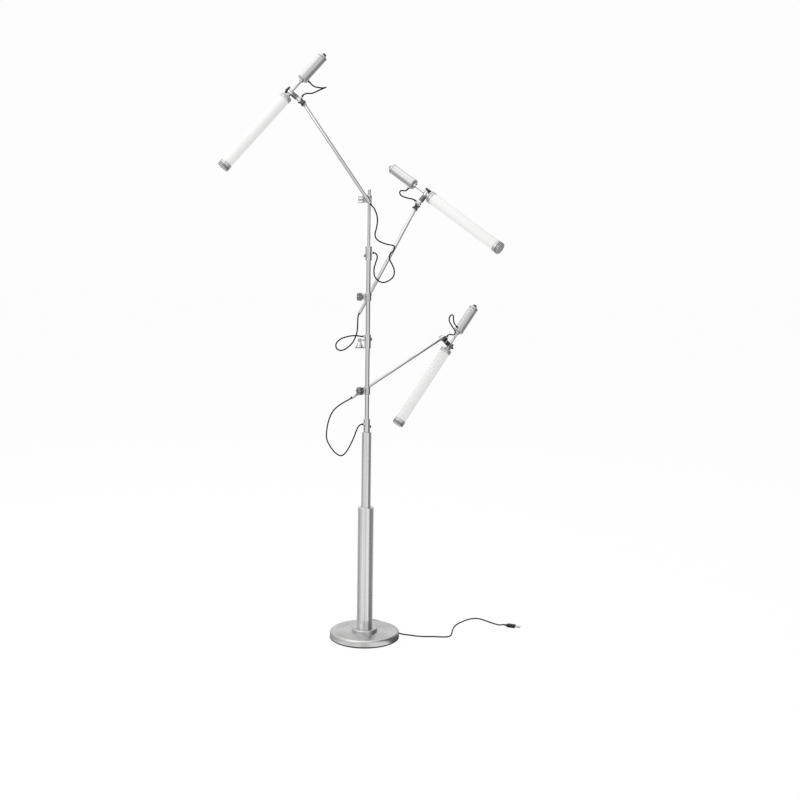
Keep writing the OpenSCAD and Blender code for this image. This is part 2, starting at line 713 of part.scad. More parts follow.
module head_lead(i) {
    straight = 1.6 * lead_d;
    start = [inlet_x, 0, inlet_z];
    entry = [cross_len - entry_x, -entry_z * sin(turn[i]), entry_z * cos(turn[i])];
    color("black") on_head(i) tube(smooth(concat(
        [start, start + [0, 0, straight]],
        head_lead_middles[i],
        [entry - [straight, 0, 0], entry]
    ), 2), lead_d, 8);
}

// Mains cord: a hank behind the base, then a free stretch out along the floor
function hank_half_width(n) = fold_r + strand_pitch * (n < hank_turns ? hank_turns - n
    : max(n - hank_turns - hank_climb, 0));
function hank_height(n) = hank_floor_z + strand_pitch * min(max((n - hank_turns) / hank_climb, 0), 1);
function hank_point(n) =
    let (
        f = n - floor(n), w = hank_half_width(n),
        along = f < 0.3 ? f / 0.3 : f < 0.5 ? 1 : f < 0.8 ? (0.8 - f) / 0.3 : 0,
        y = hank_run * (along - 0.5),
        draw = hank_waist * pow(cos(90 * (2 * along - 1)), 2),
        a = f < 0.3 ? 0 : f < 0.5 ? 180 * (f - 0.3) / 0.2 : f < 0.8 ? 180 : 180 + 180 * (f - 0.8) / 0.2
    )
    [(w - draw) * cos(a), hank_y + y + w * sin(a), hank_height(n)];
hank_start = hank_point(0);
hank_rings = [
    [gland_x, relief_y, gland_z], [gland_x, relief_y + lead_d, gland_z],
    [gland_x, relief_y + 12, gland_z - 2.2], [gland_x, relief_y + 20, hank_floor_z + 0.3],
    [gland_x, relief_y + 28, hank_floor_z], [gland_x, relief_y + 38, hank_floor_z]
];
hank_exit = hank_point(hank_end);
hank_line = concat(hank_rings, [for (k = [0 : floor(hank_end * 24)]) hank_point(k / 24)],
    [hank_exit, hank_exit + [lead_d, 0, 0]]);
mains_floor_points = [
    [26, 156, 8], [42, 153, 7], [60, 143, 4.5], [76, 128, 2.2], [90, 110, 2.2], [101, 90, 2.2],
    [108, 70, 2.2], [112, 50, 2.2], [117, 34, 2.2], [130, 24, 2.2], [150, 17, 2.2], [172, 8, 2.2],
    [200, 3, 2.2], [230, 3, 2.2], [256, 0, 2.2], [274, 2, 2.2], [286, 14, 2.2], [291, 34, 2.2],
    [295, 62, 2.2], [302, 94, 2.2], [314, 127, 2.2], [334, 157, 2.2], [356, 182, 2.2], [380, 196, 2.2],
    [402, 190, 2.2], [420, 170, 2.2], [440, 145, 2.2], [460, 127, 2.2]
];
plug_at = [478, 119, cord_r + 3.3];
plug_dir = unit([18, -8, 0]);

module mains_gland() {
    color("black") translate([gland_x, 0, gland_z]) {
        along_y(gland_d, rim_y - gland_in, rim_y + 2);
        translate([0, rim_y + 2, 0]) rotate([-90, 0, 0])
            cylinder(d1 = gland_d, d2 = lead_d + 1.4, h = relief_len - 2);
    }
}

module mains_hank() {
    color("black") tube(hank_line, lead_d, 6);
}

module hank_tie() {
    half = hank_half_width(2 * hank_turns + 0.65) - hank_waist + cord_r + face_gap;
    inner_h = 2 * cord_r + strand_pitch + face_gap;
    color("black") translate([0, hank_y + tie_w / 2, 0]) rotate([90, 0, 0]) linear_extrude(tie_w) difference() {
        translate([-half - tie_t, 0]) square([2 * half + 2 * tie_t, inner_h + 2 * tie_t]);
        translate([-half, tie_t]) square([2 * half, inner_h]);
    }
}

module mains_lead() {
    color("black") tube(above_floor(smooth(concat(
        [hank_exit + [lead_d, 0, 0], hank_exit + [2.6 * lead_d, 0, 0]],
        mains_floor_points,
        [plug_at - 1.6 * lead_d * plug_dir, plug_at]
    ), 2)), lead_d, 8);
}

module mains_plug() {
    neck_d = lead_d + 2.5;
    color("black") translate(plug_at) rotate([0, 0, atan2(plug_dir.y, plug_dir.x)]) {
        along_x(neck_d, 0, 9);
        translate([8, -plug_w / 2, -plug_t / 2]) cube([plug_body_len, plug_w, plug_t]);
        for (side = [-1, 1]) translate([0, side * plug_w / 4, 0])
            along_x(pin_d, 8 + plug_body_len - 1, 8 + plug_body_len + pin_len);
    }
}

// The least gap between strands of the hank, measured on points four times as close
union() {  // mains_hank
    fine = [for (k = [0 : floor(hank_end * 96)]) hank_point(k / 96)];
    gaps = [for (i = [0 : len(fine) - 1], j = [i + 40 : 1 : len(fine) - 1]) norm(fine[i] - fine[j]) - lead_d];
    echo(hank_least_gap = min(gaps));
}

foot_pad();
base_weight();
base_shell();
foot_ring();
lower_column();
middle_column();
middle_collar_screw();
for (level = [UPPER, MIDDLE, LOWER]) {
    prefix = ["upper_", "middle_", "lower_"][level];
    swivel_collar(level);
    mast_tube(level);
    mast_clamp(level);
    clamp_knob(level);
    arm_tube(level);
    arm_lead(level);
    head_swivel(level);
    pivot_screw(level);
    lamp_neck(level);
    neck_knob(level);
    lamp_housing(level);
    dimmer_knob(level);
    lamp_glass(level);
    light_core(level);
    end_cap(level);
    head_lead(level);
}
mains_gland();
mains_hank();
hank_tie();
mains_lead();
mains_plug();
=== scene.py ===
"""Swing arm floor lamp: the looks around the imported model, in metres.

Every new piece is worked out in millimetres in the frame of the part that it belongs to (a mast
section, an arm, a head or a lamp), and then put in its place in metres.
"""
import json
import math

import bmesh
import bpy
import numpy as np
from mathutils import Matrix, Vector


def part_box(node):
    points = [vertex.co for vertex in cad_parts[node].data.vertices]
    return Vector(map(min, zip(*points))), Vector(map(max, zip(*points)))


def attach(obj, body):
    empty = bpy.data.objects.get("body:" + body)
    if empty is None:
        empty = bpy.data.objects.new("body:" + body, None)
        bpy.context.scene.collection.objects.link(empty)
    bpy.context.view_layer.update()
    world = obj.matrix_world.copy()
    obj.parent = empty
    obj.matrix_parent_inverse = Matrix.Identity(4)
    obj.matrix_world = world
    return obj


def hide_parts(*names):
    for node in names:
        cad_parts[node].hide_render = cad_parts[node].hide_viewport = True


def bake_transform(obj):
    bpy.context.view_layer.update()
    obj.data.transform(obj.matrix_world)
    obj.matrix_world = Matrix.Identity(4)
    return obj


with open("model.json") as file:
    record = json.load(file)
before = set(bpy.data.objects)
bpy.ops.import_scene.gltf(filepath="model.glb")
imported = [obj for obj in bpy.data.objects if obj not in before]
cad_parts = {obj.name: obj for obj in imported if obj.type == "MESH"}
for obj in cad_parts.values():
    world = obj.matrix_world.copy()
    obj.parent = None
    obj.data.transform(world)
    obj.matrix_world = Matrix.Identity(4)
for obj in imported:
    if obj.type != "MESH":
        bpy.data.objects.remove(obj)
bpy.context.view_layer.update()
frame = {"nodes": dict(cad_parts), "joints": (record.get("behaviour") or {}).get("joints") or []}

LEVELS = ("upper", "middle", "lower")
JOINTS = {j["name"]: j for j in frame["joints"]}
MM = 0.001

# Camera
CAMERA_AT = (0.0, -3.7562, 1.2897)
YAW, PITCH, ROLL = math.radians(1.616), math.radians(7.551), math.radians(0.847)
LENS_MM, SENSOR_MM = 53.01, 36.0


def placed(name, data):
    """A new object in the scene, at the origin."""
    thing = bpy.data.objects.new(name, data)
    bpy.context.scene.collection.objects.link(thing)
    return thing


def add_camera():
    """The photograph's camera: heading, then slope, then roll about its own view line."""
    level = math.cos(PITCH)
    ahead = Vector((math.sin(YAW) * level, math.cos(YAW) * level, -math.sin(PITCH)))
    right = Vector((math.cos(YAW), -math.sin(YAW), 0))
    over = right.cross(ahead)
    side = right * math.cos(ROLL) + over * math.sin(ROLL)
    top = over * math.cos(ROLL) - right * math.sin(ROLL)
    data = bpy.data.cameras.new("camera")
    data.lens, data.sensor_width, data.sensor_fit = LENS_MM, SENSOR_MM, "AUTO"
    data.clip_start, data.clip_end = 0.05, 60
    turn = Matrix((side, top, -ahead)).transposed().to_4x4()
    camera = placed("camera", data)
    camera.matrix_world = Matrix.Translation(CAMERA_AT) @ turn
    bpy.context.scene.camera = camera


add_camera()


# Frames
def unit(v):
    return np.asarray(v, float) / np.linalg.norm(v)


def joint_axis(name):
    return unit(JOINTS[name]["axis"])


def joint_at(name):
    return np.array(JOINTS[name]["pos_m"], float)


def frame_of(x, y, z, at):
    """A 3x4 frame whose columns are the three axes and the origin, in metres."""
    return np.column_stack([x, y, z, at])


UP = np.array([0.0, 0.0, 1.0])
FLOOR = frame_of([1, 0, 0], [0, 1, 0], UP, [0, 0, 0])
MAST, ARM, EYE, HEAD, LAMP, REACH = {}, {}, {}, {}, {}, {}
for lv in LEVELS:
    out = -joint_axis(f"{lv}_arm_tilt")
    pivot, head, cross = (joint_at(f"{lv}_{j}") for j in ("arm_tilt", "head_bend", "lamp_turn"))
    along, lamp_z = unit(head - pivot), joint_axis(f"{lv}_dimmer_turn")
    head_x, head_y = joint_axis(f"{lv}_lamp_turn"), joint_axis(f"{lv}_head_bend")
    MAST[lv] = frame_of(np.cross(out, UP), out, UP, [0, 0, 0])
    ARM[lv] = frame_of(along, out, np.cross(along, out), pivot)
    EYE[lv] = frame_of(along, head_y, np.cross(along, head_y), head)
    HEAD[lv] = frame_of(head_x, head_y, np.cross(head_x, head_y), head)
    LAMP[lv] = frame_of(head_x, np.cross(lamp_z, head_x), lamp_z, cross)
    REACH[lv] = np.linalg.norm(head - pivot) / MM


def moved(points, at):
    """Points in millimetres in a frame, as metres in the model's own frame."""
    return np.asarray(points, float) * MM @ at[:, :3].T + at[:, 3]


# Shapes: each is (points in mm, faces), a grid whose rows run along and whose columns go round
def grid_faces(rows, cols, close_rows=False):
    """Quads of a grid that closes round its columns, and also along its rows where asked."""
    r = np.arange(rows if close_rows else rows - 1)[:, None]
    c = np.arange(cols)[None, :]
    n, d = (r + 1) % rows, (c + 1) % cols
    return np.stack([r * cols + c, r * cols + d, n * cols + d, n * cols + c], -1).reshape(-1, 4)


def rounded(corners, radius, steps=4):
    """An outline with its inner corners cut by arcs: each corner becomes points of a parabola
    between the two points that lie one radius away from it along its two edges."""
    corners = np.asarray(corners, float)
    before, here, after = corners[:-2], corners[1:-1], corners[2:]
    reach_in = np.linalg.norm(before - here, axis=1, keepdims=True)
    reach_out = np.linalg.norm(after - here, axis=1, keepdims=True)
    a = here + (before - here) / reach_in * np.minimum(radius, reach_in * 0.45)
    b = here + (after - here) / reach_out * np.minimum(radius, reach_out * 0.45)
    t = np.linspace(0, 1, steps + 1)[None, :, None]
    arcs = (1 - t) ** 2 * a[:, None] + 2 * t * (1 - t) * here[:, None] + t ** 2 * b[:, None]
    return np.vstack([corners[:1], arcs.reshape(-1, 2), corners[-1:]])


def angles(sides):
    """The angle of each column of a grid that goes once round."""
    return np.linspace(0, 2 * math.pi, sides, endpoint=False)


def turned(outline, sides=48, loop=False, lobes=None):
    """A turned shape: each point (r, h) of the outline goes round the axis, x = r cos a,
    y = r sin a, z = h. With lobes, a function of the angle, the radius is multiplied by it."""
    outline = np.asarray(outline, float)
    a = angles(sides)
    wide = outline[:, :1] * (np.ones_like(a) if lobes is None else lobes(a))[None, :]
    points = np.stack([wide * np.cos(a), wide * np.sin(a), np.repeat(outline[:, 1:], sides, 1)], -1)
    return points.reshape(-1, 3), grid_faces(len(outline), sides, loop)


def lathe(corners, edge, sides=48, steps=3, **more):
    """A turned shape whose outline has these corners, each rounded."""
    return turned(rounded(corners, edge, steps), sides, **more)


def rod(radius, low, high, edge=0.4, sides=48):
    """A plain rod with rounded rims, from one height to the other."""
    return lathe([(0, low), (radius, low), (radius, high), (0, high)], edge, sides, 4)


def pipe(radius, bore, low, high, edge=0.4, sides=48):
    """A pipe: an outline that closes on itself, wall outside and bore inside, with rounded rims."""
    loop = [(bore, low), (radius, low), (radius, high), (bore, high)]
    outline = rounded([*loop[-1:], *loop, *loop[:1]], min(edge, (radius - bore) / 3))[1:-1]
    return turned(outline, sides, loop=True)


def knurled(radius, low, high, teeth=26, depth=0.35, sides=156, rows=30):
    """A knurled sleeve: its radius is highest where either of two sets of slanting waves is,
    r = radius - depth (1 - max(cos(n a + k h), cos(n a - k h)) ) / 2, and its ends are closed."""
    a, h = angles(sides), np.linspace(low, high, rows)[:, None]
    across, slant = teeth * a[None], teeth / radius * h
    wave = np.maximum(np.cos(across + slant), np.cos(across - slant))
    axis, rim = np.zeros(sides), np.full(sides, radius - 1)
    wide = np.vstack([axis, rim, radius - depth * (1 - wave) / 2, rim, axis])
    height = np.repeat(np.vstack([h[:1], h[:1], h, h[-1:], h[-1:]]), sides, 1)
    points = np.stack([wide * np.cos(a), wide * np.sin(a), height], -1)
    return points.reshape(-1, 3), grid_faces(rows + 4, sides)


def boot(base, reach=6.5, radius=3.4):
    """A rubber boot where a lead goes in: a turned sleeve, wide at its flange, that tapers."""
    inner, tip = CORD_R - 0.1, base + reach
    return lathe([(inner, base - 0.5), (radius, base - 0.5), (radius, base + 1.6),
                  (CORD_R + 0.35, tip), (inner, tip)], 0.5, 28, loop=True)


def nozzle(radius, start, end, deep=2, edge=0.4):
    """A short round fitting with a recess in its end, where a lead goes in."""
    return lathe([(0, start), (radius, start), (radius, end), (LEAD_HOLE, end),
                  (LEAD_HOLE, end - deep), (0, end - deep)], edge, 32)


def block(low, high, edge=1.0, steps=3):
    """A block with rounded edges: each direction of a ball is set out from the corner of a smaller
    block in its own octant, p = (half - edge) sign(d) + edge d."""
    low, high = np.asarray(low, float), np.asarray(high, float)
    half, centre = (high - low) / 2, (low + high) / 2
    edge = min(edge, half.min() * 0.95)
    quarter = np.linspace(0, math.pi / 2, steps + 1)
    lon = (quarter[None] + np.arange(4)[:, None] * math.pi / 2).ravel()
    lat = np.concatenate([quarter - math.pi / 2, quarter])[:, None]
    ones = np.ones((len(lat), len(lon)))
    ball = np.stack([np.cos(lat) * np.cos(lon), np.cos(lat) * np.sin(lon), np.sin(lat) * ones], -1)
    octants = np.repeat([[1, -1, -1, 1], [1, 1, -1, -1]], steps + 1, 1)
    signs = [octants[0] * ones, octants[1] * ones, np.repeat([-1, 1], steps + 1)[:, None] * ones]
    points = np.stack(signs, -1) * (half - edge) + edge * ball + centre
    foot, top = ([centre + [0, 0, side * half[2]]] * len(lon) for side in (-1, 1))
    return np.vstack([foot, points.reshape(-1, 3), top]), grid_faces(len(lat) + 2, len(lon))


def along_x(shape):
    """The same shape with its axis along x: (x, y, z) goes to (z, x, y)."""
    return shape[0][:, [2, 0, 1]], shape[1]


def along_y(shape):
    """The same shape with its axis along y: (x, y, z) goes to (y, z, x)."""
    return shape[0][:, [1, 2, 0]], shape[1]


def shifted(shape, by):
    return shape[0] + np.asarray(by, float), shape[1]


def mirrored(shape, signs):
    """Each point multiplied by the signs, with the faces turned round where that flips them."""
    flips = np.prod(signs) < 0
    return shape[0] * np.asarray(signs, float), shape[1][:, ::-1] if flips else shape[1]


def set_out(parts, turn=None, by=(0, 0, 0), signs=(1, 1, 1)):
    """Parts, each a shape and its material, turned to another axis, mirrored and shifted."""
    return [(shifted(mirrored(turn(shape) if turn else shape, signs), by), m) for shape, m in parts]


def smooth_line(points, steps=6):
    """A curve through the points by the same rule as the solids: straight first and last spans, and
    between the others half of (2b + (c-a)t + (2a-5b+4c-d)t2 + (3b-a-3c+d)t3)."""
    p = np.asarray(points, float)
    a, b, c, d = p[np.r_[0, 0:len(p) - 2]], p[:-1], p[1:], p[np.r_[2:len(p), len(p) - 1]]
    t = (np.arange(1, steps + 1) / steps)[None, :, None]
    a, b, c, d = (v[:, None] for v in (a, b, c, d))
    spans = 0.5 * (2 * b + (c - a) * t + (2 * a - 5 * b + 4 * c - d) * t ** 2
                   + (3 * b - a - 3 * c + d) * t ** 3)
    spans[[0, -1]] = (b + (c - b) * t)[[0, -1]]
    return np.vstack([p[:1], spans.reshape(-1, 3)])


def cord_tube(line, radius, sides=12):
    """A round tube along a line: a circle at each point, across the line, whose first direction is
    carried along without twist. The ends are closed by fans."""
    t = np.gradient(line, axis=0)
    t /= np.linalg.norm(t, axis=1, keepdims=True)
    side = np.cross(t[0], UP if abs(t[0][2]) < 0.9 else [1, 0, 0])
    across = []
    for tangent in t:
        side = unit(side - side @ tangent * tangent)
        across.append(side)
    u, a = np.array(across), angles(sides)[None, :, None]
    v = np.cross(t, u)
    rings = line[:, None] + radius * (np.cos(a) * u[:, None] + np.sin(a) * v[:, None])
    foot, tip = (np.repeat(line[k, None], sides, 0)[None] for k in (0, -1))
    return np.concatenate([foot, rings, tip]).reshape(-1, 3), grid_faces(len(line) + 2, sides)


# Materials
def linear(code):
    """An sRGB hex colour as linear red, green, blue and alpha."""
    srgb = np.array([int(code[k:k + 2], 16) for k in (1, 3, 5)]) / 255
    light = np.where(srgb <= 0.04045, srgb / 12.92, ((srgb + 0.055) / 1.055) ** 2.4)
    return (*light.tolist(), 1.0)


def put(tree, kind, inputs=(), **settings):
    """Adds a shader node: settings are its own properties, inputs are values or sockets, each by
    the name or number of its input."""
    node = tree.nodes.new("ShaderNode" + kind)
    for key, value in settings.items():
        setattr(node, key, value)
    for key, value in dict(inputs).items():
        if isinstance(value, bpy.types.NodeSocket):
            tree.links.new(value, node.inputs[key])
        else:
            node.inputs[key].default_value = value
    return node


def bare_tree(owner):
    """The node tree of a material or world, emptied."""
    owner.use_nodes = True
    owner.node_tree.nodes.clear()
    return owner.node_tree


def new_material(name):
    material = bpy.data.materials.new(name)
    tree = bare_tree(material)
    shader = put(tree, "BsdfPrincipled")
    put(tree, "OutputMaterial", {"Surface": shader.outputs[0]})
    return material, tree, shader


def place_in_mm(tree, on_piece=True):
    """Where a point is, in mm: in the piece's own frame, or on a solid as it stands."""
    if on_piece:
        return put(tree, "Attribute", attribute_name="local_mm").outputs["Vector"]
    spot = put(tree, "TexCoord").outputs["Object"]
    return put(tree, "VectorMath", {0: spot, 1: (1 / MM,) * 3}, operation="MULTIPLY").outputs[0]


def follow(tree, shader, noise, light, dark, rough, bump, sockets):
    """Makes the shader's colour, roughness and height follow one noise, most of which lies between
    0.3 and 0.7. What is the same all over is set on its own sockets."""
    colour = put(tree, "Mix", {0: noise, 6: linear(dark), 7: linear(light)}, data_type="RGBA")
    spread = put(tree, "MapRange", {0: noise, 1: 0.3, 2: 0.7, 3: rough[0], 4: rough[1]})
    tree.links.new(colour.outputs[2], shader.inputs["Base Color"])
    tree.links.new(spread.outputs[0], shader.inputs["Roughness"])
    if bump:
        lift = put(tree, "Bump", {"Height": noise, "Strength": bump, "Distance": 0.2 * MM})
        tree.links.new(lift.outputs[0], shader.inputs["Normal"])
    for key, value in sockets.items():
        shader.inputs[key.replace("_", " ")].default_value = value


def finish_of(name, light, dark, rough, grain, bump=0.0, on_piece=True, **sockets):
    """A surface that follows one noise between its light and dark colours and its two roughnesses.
    grain is how many waves the noise has in a millimetre along x, y and z."""
    material, tree, shader = new_material(name)
    spot = put(tree, "VectorMath", {0: place_in_mm(tree, on_piece), 1: grain},
               operation="MULTIPLY").outputs[0]
    noise = put(tree, "TexNoise", {"Vector": spot, "Scale": 1.0, "Detail": 3.0})
    follow(tree, shader, noise.outputs[0], light, dark, rough, bump, sockets)
    return material


def brushed_disc():
    """Nickel-plated steel, brushed as it turned: fine rings round the middle, so the light draws
    out into soft spokes. The rings go from 3 mm down to 0.2 mm, and the coarse ones show from
    afar."""
    material, tree, shader = new_material("brushed_nickel_disc")
    x, y, z = put(tree, "SeparateXYZ", {0: place_in_mm(tree)}).outputs
    flat = put(tree, "CombineXYZ", {0: x, 1: y, 2: 0.0}).outputs[0]
    radius = put(tree, "VectorMath", {0: flat}, operation="LENGTH").outputs[1]
    angle = put(tree, "Math", {0: y, 1: x}, operation="ARCTAN2").outputs[0]
    rings = put(tree, "Math", {0: radius, 1: 0.3}, operation="MULTIPLY").outputs[0]
    rounds = put(tree, "CombineXYZ", {0: rings, 1: angle, 2: z}).outputs[0]
    noise = put(tree, "TexNoise", {"Vector": rounds, "Scale": 1.0, "Detail": 4.0})
    follow(tree, shader, noise.outputs[0], "#f9f9f8", "#a1a1a1", (0.24, 0.4), 0.12,
           {"Metallic": 1.0, "Anisotropic": 0.75})
    return material


# Brush lines of 0.1 mm are too fine for the picture, so they are drawn 2 to 4 mm wide
DISC = brushed_disc()
# Nickel-plated tube, brushed along its length and lacquered: vertical streaks with a milky veil
COLUMN = finish_of("brushed_nickel_column", "#ffffff", "#bababa", (0.1, 0.18), (0.24, 0.24, 0.003),
                   bump=0.03, Metallic=0.79)
# Polished nickel plate: near mirror, with faint turning marks 0.5 mm apart
PLATE = finish_of("polished_nickel", "#e4e4e3", "#d0d0cf", (0.06, 0.12), (0.3, 0.3, 2.0),
                  bump=0.015, Metallic=1.0)
# The same plate on cast fittings, which the polishing wheel leaves slightly uneven
FITTING = finish_of("polished_nickel_casting", "#dadad9", "#bdbdbc", (0.12, 0.22),
                    (0.25, 0.25, 0.25), bump=0.03, Metallic=1.0)
# Coarse diamond knurl: its facets take light from all sides, and its valleys hold dirt and shade
KNURL = finish_of("knurled_nickel", "#8f8e8d", "#4b4a49", (0.2, 0.34), (0.9, 0.9, 0.9),
                  bump=0.05, Metallic=1.0)
# Satin anodised aluminium, brushed along the tube
HOUSING = finish_of("satin_anodised_aluminium", "#dadada", "#bdbdbe", (0.34, 0.46),
                    (0.5, 0.5, 0.006), bump=0.05, Metallic=0.75)
# Smoky chrome on cast zinc knobs: dark, with bright lines where the lobes turn to the light
KNOB = finish_of("smoky_chromed_zinc", "#6b6b6d", "#363638", (0.1, 0.22), (0.5, 0.5, 0.5),
                 bump=0.03, Metallic=1.0)
# The same chrome, less smoky, on the larger clamp knobs
SMOKE = finish_of("dark_chromed_zinc", "#a6a6a8", "#727274", (0.08, 0.18), (0.4, 0.4, 0.4),
                  bump=0.03, Metallic=1.0)
# Painted shade: near-black rings at the bottom of turned grooves, where the shade falls
GROOVE_SHADE = finish_of("painted_groove_shade", "#2a2a2b", "#1a1a1b", (0.5, 0.65), (1.0, 1.0, 1.0))
# Sandblasted opal glass: white and silky, and so dense that the light core doesn't show
GLASS = finish_of("sandblasted_opal_glass", "#f3f3f2", "#eaeae9", (0.42, 0.52), (1.5, 1.5, 1.5),
                  bump=0.02, IOR=1.5)
# Milky polycarbonate tube of the light source
CORE = finish_of("milky_polycarbonate", "#f7f5ee", "#efece2", (0.3, 0.45), (0.2, 0.2, 0.2),
                 on_piece=False, IOR=1.58)
# Extruded PVC sheath: satin, with faint drawing marks
SHEATH = finish_of("extruded_pvc_sheath", "#0b0a09", "#050404", (0.5, 0.64), (0.35, 0.35, 0.35),
                   bump=0.08, IOR=1.45, Specular_IOR_Level=0.25)
# Moulded rubber and PVC: dull, with the mould's fine grain
RUBBER = finish_of("moulded_rubber", "#1b1b1b", "#101010", (0.6, 0.75), (0.8, 0.8, 0.8), bump=0.1)
PLUG = finish_of("moulded_pvc_plug", "#1e1e1f", "#141415", (0.42, 0.55), (1.2, 1.2, 1.2),
                 bump=0.08)
# Nickel-plated brass, warm where the plating is thin
PINS = finish_of("nickel_plated_brass_pins", "#cfcbc0", "#b5b1a6", (0.15, 0.25), (0.4, 0.4, 1.2),
                 Metallic=1.0)
# Pressed wool: dark and fuzzy
FELT = finish_of("pressed_wool_felt", "#2b2b2b", "#141414", (0.9, 1.0), (1.4, 1.4, 1.4), bump=0.8,
                 on_piece=False, Sheen_Weight=0.3)
# Sand-cast iron: dark, with the sand's coarse skin
IRON = finish_of("sand_cast_iron", "#3a3936", "#232220", (0.6, 0.85), (0.6, 0.6, 0.6), bump=0.6,
                 on_piece=False, Metallic=0.7)


# Pieces
def make_piece(name, parts, at, body, nodes):
    """Puts one or more shapes, each with its material, into one mesh and in its place. The points'
    places in their own frame, in mm, stay on the mesh for the patterns. A lead, which bends across
    a joint, rides on no body."""
    starts = np.cumsum([0] + [len(shape[0]) for shape, _ in parts])
    local = np.vstack([shape[0] for shape, _ in parts])
    faces = np.vstack([shape[1] + start for (shape, _), start in zip(parts, starts)])
    mesh = bpy.data.meshes.new(name)
    mesh.from_pydata(moved(local, at), [], faces.tolist())
    spots = mesh.attributes.new("local_mm", "FLOAT_VECTOR", "POINT")
    spots.data.foreach_set("vector", local.astype(np.float32).ravel())
    materials = list(dict.fromkeys(m for _, m in parts))
    for m in materials:
        mesh.materials.append(m)
    which = np.concatenate([np.full(len(shape[1]), materials.index(m)) for shape, m in parts])
    mesh.polygons.foreach_set("material_index", which.astype(np.int32))
    work = bmesh.new()
    work.from_mesh(mesh)
    bmesh.ops.remove_doubles(work, verts=work.verts, dist=1e-6)
    bmesh.ops.dissolve_degenerate(work, edges=work.edges, dist=1e-7)
    bmesh.ops.recalc_face_normals(work, faces=work.faces)
    work.to_mesh(mesh)
    work.free()
    mesh.shade_smooth()
    mesh.set_sharp_from_angle(angle=math.radians(40))
    piece = placed(name, mesh)
    if body:
        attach(piece, body)
    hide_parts(*nodes)
    return piece


def dress(node, material):
    """A solid whose own shape is right gets its material."""
    data = frame["nodes"][node].data
    data.materials.clear()
    data.materials.append(material)


# Base and columns, in mm
BASE_R, BASE_H, PAD_H, EDGE_R, WALL, HOLE_R, FOOT_SHADE_TOP = 114, 25, 2, 7, 1.6, 6, 4.6
FOOT_RING_R, FOOT_RING_H, COLUMN_R, COLUMN_TOP = 42, 9, 26, 439
MIDDLE_R, MIDDLE_TOP, SPIGOT_R, SPIGOT_H = 15.5, 686, 7, 16.3
CORD_R = 2.2
CORD_D = 2 * CORD_R
LEAD_HOLE, FIT = CORD_R + 0.2, 0.05
MAST_R = {"upper": 4.8, "middle": 7, "lower": 7}


def arc(cx, cz, radius, start, end, steps=10):
    """Points of an arc in the outline's plane, angles in degrees."""
    a = np.radians(np.linspace(start, end, steps))
    return np.stack([cx + radius * np.cos(a), cz + radius * np.sin(a)], -1)


def base_pieces():
    """The cover is one turned shell: out along the top, round the edge, down the side, and back up
    inside. Below the edge it has a narrow step, with a band of black rubber round it that also
    paints the shadow line where the base meets the floor."""
    edge_at = (BASE_R - EDGE_R, BASE_H - EDGE_R)
    cover = np.vstack([
        [(HOLE_R, BASE_H), (FOOT_RING_R + 2, BASE_H), (80, BASE_H)],
        arc(*edge_at, EDGE_R, 90, 0),
        [(BASE_R, 5.4), (BASE_R - 0.5, 5), (BASE_R - 0.7, PAD_H + 0.2), (BASE_R - WALL, PAD_H)],
        arc(*edge_at, EDGE_R - WALL, 0, 90),
        [(HOLE_R, BASE_H - WALL)],
    ])
    # A band of black rubber round the foot, 0.1 mm proud of the side: painted shade, the contact
    # shadow where the base meets the floor
    foot_shade_band = lathe([(BASE_R - WALL, PAD_H), (BASE_R + 0.1, PAD_H), (BASE_R + 0.1, FOOT_SHADE_TOP),
                    (BASE_R - WALL, FOOT_SHADE_TOP)], 0.4, 160, 4, loop=True)
    ring_top = BASE_H + FOOT_RING_H
    ring = np.vstack([[(COLUMN_R, BASE_H), (FOOT_RING_R, BASE_H)],
                      arc(FOOT_RING_R - 4, ring_top - 4, 4, 0, 90, 7), [(COLUMN_R, ring_top)]])
    tube = pipe(COLUMN_R, MIDDLE_R, BASE_H, COLUMN_TOP, 1.2, 72)
    spigot_top = MIDDLE_TOP + SPIGOT_H
    middle = lathe([(0, BASE_H), (MIDDLE_R, BASE_H), (MIDDLE_R, MIDDLE_TOP), (SPIGOT_R, MIDDLE_TOP),
                    (SPIGOT_R, spigot_top), (0, spigot_top)], 0.8, 64, 4)
    for name, parts, node in (
            ("base_cover", [(turned(cover, 160, loop=True), DISC), (foot_shade_band, RUBBER)], "base_shell"),
            ("column_foot_ring", [(turned(ring, 96, loop=True), DISC)], "foot_ring"),
            ("lower_column_tube", [(tube, COLUMN)], "lower_column"),
            ("middle_column_tube", [(middle, COLUMN)], "middle_column")):
        make_piece(name, parts, FLOOR, "base", [node])
    dress("foot_pad", FELT)
    dress("base_weight", IRON)


OUTLET_R, OUTLET_OUT, COLLAR_R, COLLAR_STEP, SIDE_SCREW_R, SCREW_DROP = 4, 13.5, 10.5, 19.3, 4.6, 9
OUTLET_Z = {"upper": 1260, "middle": 995, "lower": 712.3}
CONE_X, CONE_Z, CONE_R, CONE_TIP_R, CONE_H, SHANK_R = 25.7, 958, 13.5, 3.5, 22, 2.5


